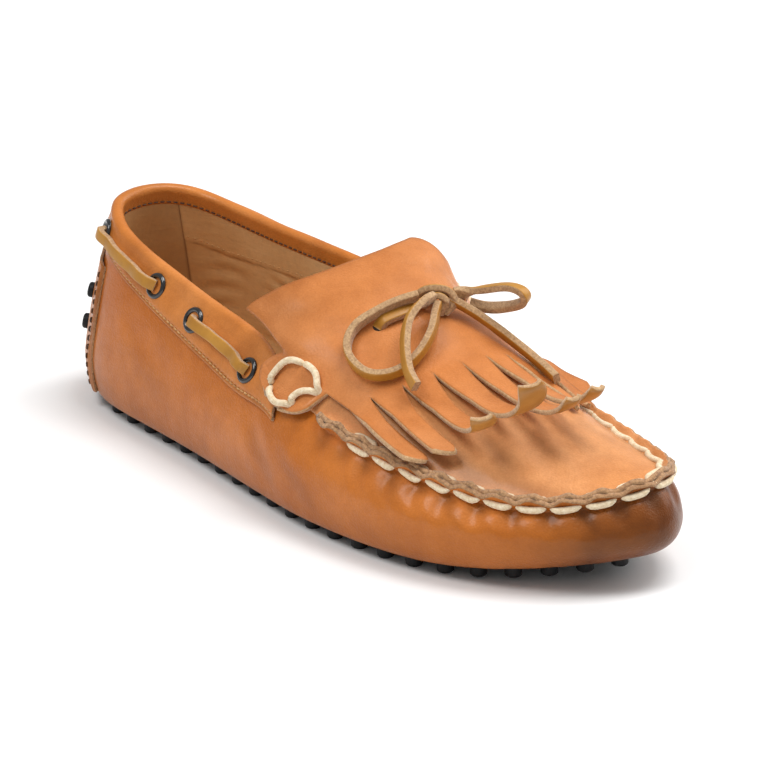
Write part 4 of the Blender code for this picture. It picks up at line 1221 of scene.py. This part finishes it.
STUD_SINK = 0.0001
PATCH_REACH = 2.2
PATCH_DEPTH = 0.235
PATCH_FOOT = 0.1
PATCH_TEETH = 22
PATCH_SECTIONS = 150
HEEL_STITCH = 0.0026
HEEL_STITCH_PITCH = 0.0034
HEEL_THREAD_AT = 2.0
HEEL_STUD_WIDTH = 0.98
HEEL_STUD_HEIGHTS = (0.53, 0.37)
HEEL_STUD_SECTIONS = (1.2, 0.4, -0.4, -1.2)


def build_heel_patch():
    """The patch up the back with its pinked edge."""
    u = np.linspace(-PATCH_REACH, PATCH_REACH, PATCH_SECTIONS)
    shares = np.linspace(0, 1, 2 * PATCH_TEETH)[:, None]
    v = PATCH_FOOT + (level_below_rim(u, PATCH_DEPTH * HEEL_HEIGHT) - PATCH_FOOT) * shares
    wide = np.broadcast_to(u, v.shape)
    teeth = np.abs(np.mod(shares * PATCH_TEETH, 1.0) - 0.5) * 0.10
    wide = wide - np.sign(wide) * smooth((np.abs(wide) - 1.8) / 0.4) * teeth
    tuck = 0.0007 * smooth((np.abs(u) - 2.05) / 0.15)
    points = on_side(wide, v, FAR - tuck + 0.0002 * np.sin(wide * 9 + v * 14)).reshape(-1, 3)
    burnish = np.tile(0.30 + 0.3 * smooth((np.abs(u) - 1.9) / 0.3), len(shares))
    piece = new_piece("heel_patch", points, grid_faces(len(shares), len(u), flip=True), burnish=burnish)
    return thicken(dress(piece, "band", "flesh", "edge"), BAND_LEATHER)


def build_heel_thread(sizes):
    rows = []
    top = float(level_below_rim(PATCH_REACH, PATCH_DEPTH * HEEL_HEIGHT)) - 0.03
    for u in (-HEEL_THREAD_AT, HEEL_THREAD_AT):
        v = np.linspace(PATCH_FOOT + 0.04, top, 120)
        rows.append(stitch_row("row", on_side(u, v, FAR), side_facing(u, v), HEEL_STITCH_PITCH,
                               stitch_shape(HEEL_STITCH, sizes.thread * 1.3, 0.4), "dark_thread"))
    return together("heel_thread", rows)


def pebble(radius, height, corner=0.0011):
    """Profile of a rubber stud with a rounded end."""
    profile = [(radius * 1.04, 0.0), (radius, height * 0.2), (radius, height - corner)]
    for turn in np.radians(np.linspace(15, 90, 6)):
        profile.append((radius - corner + corner * math.cos(turn), height - corner + corner * math.sin(turn)))
    return profile + [(radius * 0.2, height)]


def build_heel_studs():
    spots, facings = [], []
    for height in HEEL_STUD_HEIGHTS:
        for u in HEEL_STUD_SECTIONS:
            v = level_below_rim(u, edge_point(u)[2] - height * HEEL_HEIGHT)
            spots.append(on_side(u, v, FAR + GAP - 2 * STUD_SINK))
            facings.append(side_facing(u, v))
    shape = turned_shape(pebble(STUD_RADIUS * HEEL_STUD_WIDTH, HEEL_STUD_LENGTH + STUD_SINK))
    return repeated("heel_studs", spots, facings, [UPWARD] * len(spots), shape, "rubber")


# The eyelets and side laces

RING_STEPS = 28
SIDE_LACE_DIVE = 0.0024


def side_name(inner):
    return "inner" if inner else "outer"


def eyelet_places(inner):
    """Section and level of each eyelet of one side, from the heel forwards."""
    sections, depths = np.transpose(EYELETS)
    u = -sections if inner else sections
    return u, level_below_rim(u, depths * HEEL_HEIGHT)


def build_eyelets(inner):
    """Rolled rings, four to a side, each with a dark disc of painted shade in its hole."""
    hole, wide = EYELET_HOLE, (EYELET_RADIUS - EYELET_HOLE) / 2
    profile = [(hole * 0.9, -0.0008)]
    for turn in np.radians(np.linspace(180, 0, 9)):
        profile.append((hole + wide + wide * math.cos(turn) * 0.98, EYELET_HEIGHT * math.sin(turn)))
    faces = grid_faces(len(profile), RING_STEPS, close_columns=True)
    ring = recalculated(new_piece("shape", turned_points(profile, RING_STEPS), faces))
    u, v = eyelet_places(inner)
    at = on_side(u, v, FAR + GAP), side_facing(u, v), [UPWARD] * len(u)
    rings = repeated("ring", *at, ring, "eyelet")
    # A dark disc of painted shade in each ring's hole
    disc = turned_shape([(hole * 0.2, -0.00045), (hole * 1.05, -0.00045), (hole * 1.1, -0.0004)])
    return together(f"eyelets_{side_name(inner)}", [rings, repeated("hole", *at, disc, "hollow")])


def build_side_laces(inner, sizes):
    """The thong between the first two and the last two eyelets, diving into their holes."""
    over_band = FAR + GAP + sizes.thong_thickness / 2
    rise = EYELET_HEIGHT + 2 * GAP
    share = np.linspace(0, 1, LACE_POINTS)
    near = np.minimum(share, 1 - share)
    dive = SIDE_LACE_DIVE * (1 - smooth(near / 0.05))
    lift = over_band + rise * (1 - smooth(5.6 * near - 0.6)) - dive
    places = np.transpose(eyelet_places(inner))
    pieces = []
    for start, end in (places[:2], places[2:]):
        u, v = (start + (end - start) * share[:, None]).T
        pieces.append(thong("lace", on_side(u, v, lift), side_facing(u, v), sizes.thong_width,
                            sizes.thong_thickness))
    return together(f"side_laces_{side_name(inner)}", pieces)


# The kiltie

SLITS_AT = spline(SLITS)
STRIP_COLUMNS = 10
STRIP_STEPS = 24
STRIP_FINE = 12
BODY_ROWS = 35
TAB_ROWS = {False: (15, 30), True: (3, 25)}
TAB_START = 0.12
TAB_STEPS = 25
TIP_NARROWS = 0.34
KILTIE_MERGE = 0.00003
CREASE_SECTION = 0.0215
CREASE_GIRTH = 0.075
LACE_HOLE = 8.2
LACE_HOLES = (0.375, 0.705)

# Each instep lace's share across at its hole and at the knot, and how far it runs on
INSTEP_LACES = {False: (0.38, 0.463, 1.1), True: (0.70, 0.612, 1.5)}
LACE_TUCK = 0.12
LACE_POINTS = 40
LACE_DIVE = 0.0026

# Middles of the four stitches round a tab, between its holes
TAB_MIDDLES = [(7.22, 0.085), (7.95, 0.155), (7.42, -0.13), (7.86, 0.045)]

# Creases of the kiltie: section and share across at each end, half width in mm and depth in mm
CREASES = [
    (6.35, 0.17, 7.15, 0.27, 3.2, -0.55), (6.55, 0.12, 7.45, 0.19, 2.6, 0.50),
    (6.5, 0.33, 7.3, 0.45, 4.2, -0.40), (7.1, 0.20, 8.1, 0.24, 3.6, 0.40), (6.9, 0.56, 7.9, 0.64, 4.0, 0.45),
    (7.5, 0.70, 8.5, 0.74, 3.4, -0.45), (6.7, 0.78, 7.6, 0.86, 3.0, 0.50), (7.6, 0.30, 8.6, 0.28, 3.0, -0.35),
    (8.3, 0.52, 9.1, 0.50, 3.2, 0.35),
]


def kiltie_lift(u, a):
    """Height of the kiltie's middle layer over the skin."""
    edge = 1.0 - smooth((np.minimum(a, 1.0 - a) + 0.02) / 0.12)
    rear = 1.0 - smooth((u - 5.9) / 1.2)
    lobe = bump(u, 7.2, 0.5) * bump(a, 0.74, 0.10) + 1.1 * bump(u, 7.0, 0.45) * bump(a, 0.84, 0.06)
    return GAP + KILTIE / 2 + 0.0002 + edge * FAR + (rear + lobe) * FLARE


def on_kiltie(u, a, lift=0.0):
    u, a = np.broadcast_arrays(np.asarray(u, float), np.asarray(a, float))
    return skin(u, a) + facing(skin, u, a) * (kiltie_lift(u, a) + lift)[..., None]


def strip_course(reach, rise, curl):
    """Forward reach and height along a strip as it curls up, as columns."""
    count = STRIP_STEPS * STRIP_FINE
    slope = np.radians(rise + (curl - rise) * ((np.arange(count) + 0.5) / count) ** 2.6)
    steps = reach * FRINGE / count * np.stack([np.cos(slope), np.sin(slope)], -1)
    course = np.vstack([np.zeros(2), np.cumsum(steps, axis=0)])[::STRIP_FINE]
    return course[:, :1], course[:, 1:]


def creased(u, a):
    """Soft ridges and troughs of the kiltie, in metres."""
    total = 0.0
    for first, start, last, end, wide, high in CREASES:
        way = np.array([(last - first) * CREASE_SECTION, (end - start) * CREASE_GIRTH])
        x, y = (u - first) * CREASE_SECTION, (a - start) * CREASE_GIRTH
        share = np.clip((x * way[0] + y * way[1]) / (way @ way), 0, 1)
        away = np.hypot(x - way[0] * share, y - way[1] * share) / (wide / 1000)
        total = total + high / 1000 * np.exp(-away ** 2) * (0.4 + 0.6 * np.sin(math.pi * share))
    return total


def kiltie_body():
    """Sections and shares of the flap's grid, its points and its darker marks, partly painted shadow."""
    place = np.linspace(0, len(STRIPS), len(STRIPS) * STRIP_COLUMNS + 1)
    a, rear, root = SLITS_AT(place).T
    rear = rear + 0.9 * smooth((a - 0.64) / 0.15)
    share = np.linspace(0, 1, BODY_ROWS + 1)[:, None]
    u = rear + (root - rear) * share
    curl = 0.0030 * (1 - share) ** 7 * bump(a, 0.12, 0.06)
    ripple = 0.0008 * np.sin(place * 2.1 + 5 * share) * share * (1 - share)
    body = on_kiltie(u, a, curl + ripple + creased(u, a) * smooth((1 - share) / 0.2))
    # Darker at the rear edge, and a painted cast shadow near the flap's rear edge on its outer side
    burnish = 0.08 + 0.12 * bump(share, 0.0, 0.06) + 0.25 * bump(share, 0.15, 0.25) * bump(a, 0.2, 0.12)
    return u, a, body, burnish


def kiltie_strip(number, a, root, section):
    """Points of one fringe strip, from its root to its curled tip."""
    tip_at, half, reach, rise, curl, tilt = STRIPS[number]
    j = np.linspace(-1, 1, STRIP_COLUMNS + 1)
    go = np.linspace(0, 1, STRIP_STEPS + 1)[:, None]
    forward, height = strip_course(reach, rise, curl)
    end = np.clip((go - 0.90) / 0.10, 0, 1)
    u = root + forward / section - 0.05 * end * np.abs(j) ** 3
    girth = np.linalg.norm(edge_point(u) - edge_point(ROUND - u), axis=-1)
    here = a + (tip_at + j * half - a) * go - j * KILTIE_SLIT / girth * np.minimum(1.0, 3 * go)
    middle = here[:, [STRIP_COLUMNS // 2]]
    here = middle + (here - middle) * (1.0 - TIP_NARROWS * end ** 2.4)
    outer_edge = -1 if tip_at < 0.5 else 1
    lean = tilt * SEAM_HEIGHT * smooth(2 * go) * (1.0 - 0.45 * np.abs(j - outer_edge))
    cup = (0.0005 * j ** 2 * smooth(3 * go) - 0.0002) * smooth(6 * go)
    wave = 0.0003 * np.sin(go * 9 + number * 2.3) * smooth(2 * go)
    return on_kiltie(u, here, height + lean + cup + wave), 0.08 + 0.25 * bump(np.abs(j), 1.0, 0.16)


def kiltie_tab(inner, u, body):
    """Points of one side tab, whose first row is part of the flap's edge."""
    first, last = TAB_ROWS[inner]
    column = -1 if inner else 0
    rows = [(TAB_START, u[first, column], u[last, column])] + TAB
    across, rear, front = spline(rows)(np.linspace(0, len(rows) - 1, TAB_STEPS)).T[..., None]
    j = np.linspace(-1, 1, last - first + 1)
    go = np.linspace(0, 1, TAB_STEPS)[:, None]
    round_off = np.sqrt(np.clip(1 - 0.55 * np.clip((go - 0.82) / 0.18, 0, 1) ** 2, 0.05, 1))
    wide = across - 0.018 * (1 - j ** 2) * go ** 3
    cup = 0.0004 * smooth(2 * go) * np.abs(j) ** 3
    tab = on_kiltie((rear + front) / 2 + j * (front - rear) / 2 * round_off, 1 - wide if inner else wide, cup)
    tab[0] = body[first:last + 1, column]
    return tab, 0.08 + 0.2 * bump(go, 1.0, 0.08)


def build_kiltie():
    u, a, body, body_burnish = kiltie_body()
    section = np.linalg.norm(apron(10, 0.5) - apron(9, 0.5))
    sheets = [(body, body_burnish, False)]
    for number in range(len(STRIPS)):
        pick = slice(number * STRIP_COLUMNS, (number + 1) * STRIP_COLUMNS + 1)
        sheets.append((*kiltie_strip(number, a[pick], u[-1, pick], section), False))
    sheets += [(*kiltie_tab(inner, u, body), inner) for inner in (False, True)]
    points, faces, burnish, base = [], [], [], 0
    for grid, dark, flip in sheets:
        rows, columns = grid.shape[:2]
        points.append(grid.reshape(-1, 3))
        burnish.append(np.broadcast_to(dark, (rows, columns)).ravel())
        faces.extend((grid_faces(rows, columns, flip=flip) + base).tolist())
        base += rows * columns
    piece = new_piece("kiltie_flap", np.concatenate(points), faces, burnish=np.concatenate(burnish))
    merged(piece, KILTIE_MERGE)
    return thicken(dress(piece, "kiltie", "underside", "pale_edge"), KILTIE, 0.0)


def build_kiltie_holes():
    # Dark discs of painted shade where the instep laces go through the flap
    u, a = np.full(2, LACE_HOLE), np.array(LACE_HOLES)
    spots = on_kiltie(u, a, KILTIE / 2 - 0.0001 + creased(u, a))
    shape = turned_shape([(0.0019, 0.0), (0.0021, 0.0001), (0.0018, 0.00022)])
    return repeated("kiltie_holes", spots, facing(skin, u, a), [FORWARD] * 2, shape, "hollow")


def round_stitch(path, radius, sides=12):
    """A thick round cord along a path, slimmer at its ends."""
    ahead = unit(np.gradient(path, axis=0))
    across = unit(np.cross(ahead, UPWARD))
    turn = 2 * math.pi * np.arange(sides) / sides
    share = np.abs(np.linspace(-1, 1, len(path)))
    slim = np.sqrt(np.clip(1 - (np.clip(share - 0.75, 0, 1) / 0.25) ** 2 * 0.6, 0.05, 1))[:, None]
    profile = np.stack([np.cos(turn), np.sin(turn)], -1) * radius
    rings = sweep(path, across * slim, np.cross(across, ahead) * slim, profile)
    return recalculated(new_piece("stitch", rings.reshape(-1, 3), tube_faces(len(path), sides)))


def build_tab_stitches(inner, sizes):
    """Four stitches of cream cord in a ring round the tab, from hole to hole."""
    left, top, right, bottom = TAB_HOLES
    radius = sizes.cord_thickness / 2
    share = np.linspace(0, 2, 30)
    dive = smooth(np.minimum(share, 2 - share) / 0.35)
    lift = KILTIE / 2 + radius * (1.8 * dive - 0.75) + 0.0003
    pieces = []
    for start, middle, end in zip((left, top, left, bottom), TAB_MIDDLES, (top, right, bottom, right)):
        u, a = spline([start, middle, end])(share).T
        pieces.append(round_stitch(on_kiltie(u, 1 - a if inner else a, lift), radius))
    return dress(together(f"tab_stitches_{side_name(inner)}", pieces), "cream")


def build_instep_lace(inner, sizes):
    start, end, reach = INSTEP_LACES[inner]
    share = np.linspace(-LACE_TUCK, reach, LACE_POINTS)
    a = start + (end - start) * share
    u = LACE_HOLE + 0.14 * np.clip(share, 0, 1)
    dive = 1 - smooth((share + LACE_TUCK) / 0.3)
    lift = KILTIE / 2 + GAP + sizes.thong_thickness / 2 - LACE_DIVE * dive + creased(u, a)
    return thong(f"instep_lace_{side_name(inner)}", on_kiltie(u, a, lift), facing(skin, u, a),
                 sizes.thong_width, sizes.thong_thickness)


# The sole

STUD_PITCH = 0.0118
STUD_EDGE = 0.0042
STUD_ROW_GAP = STUD_PITCH * 1.06
STUD_CLEAR = STUD_PITCH * 0.82
PLATE_SECTIONS = 150
PLATE_COLUMNS = 30


def inside(loop, x, y):
    p, q = loop, np.roll(loop, -1, 0)
    crosses = (p[:, 1] > y) != (q[:, 1] > y)
    rise = np.where(crosses, q[:, 1] - p[:, 1], 1.0)
    meets = p[:, 0] + (q[:, 0] - p[:, 0]) * (y - p[:, 1]) / rise
    return np.count_nonzero(crosses & (x < meets)) % 2 == 1


def stud_places():
    """A row of studs round the edge and a staggered field inside it."""
    u = np.arange(8 * ROUND) / 8
    loop = base_point(u, turn_at(u) + STUD_EDGE)[:, :2]
    closed = np.vstack([loop, loop[:1]])
    run = arc_length(closed)
    count = round(run[-1] / STUD_PITCH)
    places = list(at_runs(np.arange(count) * run[-1] / count, run, closed))
    for i in range(-2, int(LENGTH / STUD_ROW_GAP) + 1):
        for j in range(-9, 10):
            x, y = i * STUD_ROW_GAP, (j + 0.5 * (i % 2)) * STUD_ROW_GAP
            if inside(loop, x, y) and np.hypot(loop[:, 0] - x, loop[:, 1] - y).min() > STUD_CLEAR:
                places.append((x, y))
    return np.array(places)


def build_sole_plate():
    u = np.linspace(0.02, TIP - 0.02, PLATE_SECTIONS)
    outer = base_point(u, turn_at(u) + GAP)
    inner = base_point(ROUND - u, turn_at(u) + GAP)
    share = np.linspace(0, 1, PLATE_COLUMNS)
    points = outer[:, None] + (inner - outer)[:, None] * share[:, None]
    level = ground(points[..., 0] + HEEL_SEAT, points[..., 1])
    points[..., 2] = level + 0.0006 * np.abs(2 * share - 1) ** 14
    piece = new_piece("sole_plate", points.reshape(-1, 3), grid_faces(PLATE_SECTIONS, PLATE_COLUMNS))
    recalculated(dress(piece, "rubber", "rubber", "rubber"))
    up = sum(face.normal.z * face.area for face in piece.data.polygons)
    return thicken(piece, PLATE - 2 * STUD_SINK, 1.0 if up > 0 else -1.0)


def build_studs():
    x, y = stud_places().T
    spots = np.column_stack([x, y, ground(x + HEEL_SEAT, y) + STUD_SINK])
    shape = turned_shape(pebble(STUD_RADIUS, STUD_HEIGHT + STUD_SINK), steps=18)
    downward = (0.0, 0.0, -1.0)
    return repeated("sole_studs", spots, [downward] * len(spots), [FORWARD] * len(spots), shape, "rubber")


# The stage

FLOOR_REACH = 4.0
SENSOR_WIDTH = 36.0
NEAREST_SEEN = 0.05
SKY = 0.42

# Lights: metres to the camera's right, back towards it and up from the aim, size and power
LIGHTS = {
    "key": (-0.7, 0.5, 1.3, 0.7, 11.5),
    "top": (0.5, 0.0, 1.5, 0.8, 17.0),
    "rim": (1.0, -0.5, 0.9, 0.8, 6.0),
}


def build_floor():
    corners = [(x * FLOOR_REACH, y * FLOOR_REACH, 0) for x, y in ((-1, -1), (1, -1), (1, 1), (-1, 1))]
    floor = new_piece("floor", corners, [(0, 1, 2, 3)])
    look = Look("floor")
    colour = look.mix(look.tone(3.0, 0.3, 0.7, 2.0), (0.90, 0.90, 0.90), (0.92, 0.92, 0.92))
    floor.data.materials.append(look.paint(colour, 0.75))
    return floor


def build_camera():
    right, upward, back = view_frame()
    data = bpy.data.cameras.new("view")
    data.lens = VIEW_LENS
    data.sensor_width = SENSOR_WIDTH
    data.clip_start = NEAREST_SEEN
    camera = linked("view", data)
    spot = Vector(VIEW_AIM) + right * VIEW_SHIFT[0] + upward * VIEW_SHIFT[1] + back * VIEW_DISTANCE
    turned = Matrix((right, upward, back)).transposed().to_4x4()
    camera.matrix_world = Matrix.Translation(spot) @ turned
    bpy.context.scene.camera = camera
    return camera


def build_light(name, rightward, backward, up, size, power):
    right, _, back = view_frame()
    way = back * backward + right * rightward + Vector((0, 0, up))
    data = bpy.data.lights.new(name, "AREA")
    data.shape = "RECTANGLE"
    data.size = data.size_y = size
    data.energy = power
    lamp = linked(name, data)
    lamp.location = Vector(VIEW_AIM) + way
    lamp.rotation_euler = way.to_track_quat("Z", "Y").to_euler()
    return lamp


def build_sky(strength):
    world = bpy.context.scene.world or bpy.data.worlds.new("studio")
    bpy.context.scene.world = world
    world.use_nodes = True
    shade = world.node_tree.nodes["Background"]
    shade.inputs["Color"].default_value = (1.0, 1.0, 1.0, 1.0)
    shade.inputs["Strength"].default_value = strength


# Sizes, colours and buttons

def size_of(name, description, default, low, high):
    return bpy.props.FloatProperty(name=name, description=description, default=default, min=low, max=high,
                                   unit="LENGTH")


def tone_of(name, description, default):
    return bpy.props.FloatVectorProperty(name=name, description=description, default=default, size=3, min=0,
                                         max=1, subtype="COLOR")


class LoaferSizes(bpy.types.PropertyGroup):
    thong_width: size_of("Thong width", "Width of the flat lace", 0.004, 0.003, 0.005)
    thong_thickness: size_of("Thong thickness", "Thickness of the flat lace", 0.0026, 0.0015, 0.003)
    cord_thickness: size_of("Seam cord thickness", "Thickness of the cream cord in the apron seam and tabs",
                            0.0024, 0.0012, 0.0026)
    thread: size_of("Thread thickness", "Thickness of the machine thread round the collar",
                    0.0006, 0.0003, 0.001)
    stitch_pitch: size_of("Stitch pitch", "Distance from one collar stitch to the next",
                          0.0025, 0.0015, 0.005)


class LoaferColours(bpy.types.PropertyGroup):
    light_tan: tone_of("Light tan", "Lightest tone of the calf", (0.66, 0.205, 0.036))
    tan: tone_of("Tan", "Main tone of the calf", (0.51, 0.128, 0.006))
    dark_tan: tone_of("Dark tan", "Mottled tone of the calf", (0.26, 0.055, 0.004))
    # This colour also paints shade: in folds and puckers, low on the wall, on the toe's lower side and in a
    # cast shadow on the kiltie
    burnish: tone_of("Burnish", "Waxed tone at the toe, the heel and in the folds", (0.085, 0.020, 0.003))


class LOAFER_OT_stage(bpy.types.Operator):
    """Set the pale floor, the soft lights and the camera"""
    bl_idname = "loafer.stage"
    bl_label = "Stage"

    def execute(self, context):
        build_floor()
        build_camera()
        build_sky(SKY)
        context.scene.view_settings.view_transform = "Standard"
        for name, values in LIGHTS.items():
            build_light(name, *values)
        return {"FINISHED"}


class LOAFER_OT_bow(bpy.types.Operator):
    """Tie the bow: its loops, ends and knot"""
    bl_idname = "loafer.bow"
    bl_label = "Bow"

    def execute(self, context):
        sizes = context.scene.loafer_sizes
        knot = handed_in(build_knot(sizes), ["bow_knot"])
        for name, piece, path, far_end in build_bow(sizes):
            handed_in(piece, [name])
        return {"FINISHED"}


class LOAFER_OT_upper(bpy.types.Operator):
    """Build the wall, the apron, their raised stitched seam and the lining"""
    bl_idname = "loafer.upper"
    bl_label = "Upper"

    def execute(self, context):
        sizes = context.scene.loafer_sizes
        handed_in(build_side_wall(), ["upper"])
        handed_in(build_apron_top(), ["upper"])
        handed_in(build_seam_cord(sizes), ["upper"])
        handed_in(build_lining(), ["upper"])
        handed_in(build_lining_stitches(sizes), ["upper"])
        return {"FINISHED"}


class LOAFER_OT_collar(bpy.types.Operator):
    """Build the collar band, its stitches, the eyelets and the side laces"""
    bl_idname = "loafer.collar"
    bl_label = "Collar"

    def execute(self, context):
        sizes = context.scene.loafer_sizes
        handed_in(build_collar(), ["collar_band"])
        for row in build_collar_stitches(sizes):
            handed_in(row, ["collar_band"])
        for inner in (False, True):
            rings = [f"eyelet_{side_name(inner)}_{number}" for number in (1, 2, 3, 4)]
            handed_in(build_eyelets(inner), rings)
            laces = [f"lace_{side_name(inner)}_{number}" for number in (1, 2)]
            handed_in(build_side_laces(inner, sizes), laces)
        return {"FINISHED"}


class LOAFER_OT_heel(bpy.types.Operator):
    """Build the heel patch with its thread and studs"""
    bl_idname = "loafer.heel"
    bl_label = "Heel patch"

    def execute(self, context):
        handed_in(build_heel_patch(), ["heel_strip"])
        handed_in(build_heel_thread(context.scene.loafer_sizes), ["heel_strip"])
        handed_in(build_heel_studs(), [f"heel_stud_{number}" for number in range(1, 9)])
        return {"FINISHED"}


class LOAFER_OT_kiltie(bpy.types.Operator):
    """Build the fringed kiltie, its tab stitches and the laces to the knot"""
    bl_idname = "loafer.kiltie"
    bl_label = "Kiltie"

    def execute(self, context):
        sizes = context.scene.loafer_sizes
        handed_in(build_kiltie(), ["kiltie"])
        handed_in(build_kiltie_holes(), ["kiltie"])
        for inner in (False, True):
            handed_in(build_tab_stitches(inner, sizes), [f"tab_cord_{side_name(inner)}"])
            handed_in(build_instep_lace(inner, sizes), [f"lace_instep_{side_name(inner)}"])
        return {"FINISHED"}


class LOAFER_OT_sole(bpy.types.Operator):
    """Build the rubber plate and its studs, and dress the insole"""
    bl_idname = "loafer.sole"
    bl_label = "Sole"

    def execute(self, context):
        handed_in(build_sole_plate(), ["sole"])
        handed_in(build_studs(), ["sole"])
        for slot in bpy.data.objects["insole"].material_slots:
            slot.material = finish("lining")
        return {"FINISHED"}


class LOAFER_PT_panel(bpy.types.Panel):
    """Sizes, colours and buttons of the loafer"""
    bl_idname = "LOAFER_PT_panel"
    bl_label = "Leather Driving Loafer"
    bl_space_type = "VIEW_3D"
    bl_region_type = "UI"
    bl_category = "Loafer"

    def draw(self, context):
        for group in (context.scene.loafer_sizes, context.scene.loafer_colours):
            box = self.layout.box()
            for key in group.__annotations__:
                box.prop(group, key)
        for button in OPERATORS:
            self.layout.operator(button.bl_idname)


OPERATORS = (
    LOAFER_OT_stage, LOAFER_OT_bow, LOAFER_OT_upper, LOAFER_OT_collar, LOAFER_OT_heel, LOAFER_OT_kiltie,
    LOAFER_OT_sole,
)
CLASSES = (LoaferSizes, LoaferColours, *OPERATORS, LOAFER_PT_panel)


def register():
    for kind in CLASSES:
        bpy.utils.register_class(kind)
    bpy.types.Scene.loafer_sizes = bpy.props.PointerProperty(type=LoaferSizes)
    bpy.types.Scene.loafer_colours = bpy.props.PointerProperty(type=LoaferColours)


def unregister():
    del bpy.types.Scene.loafer_colours
    del bpy.types.Scene.loafer_sizes
    for kind in reversed(CLASSES):
        bpy.utils.unregister_class(kind)


def main():
    register()
    for button in OPERATORS:
        group, name = button.bl_idname.split(".")
        result = getattr(getattr(bpy.ops, group), name)()
        if result != {"FINISHED"}:
            raise RuntimeError(f"{button.bl_label} did not finish")


if __name__ == "__main__":
    main()
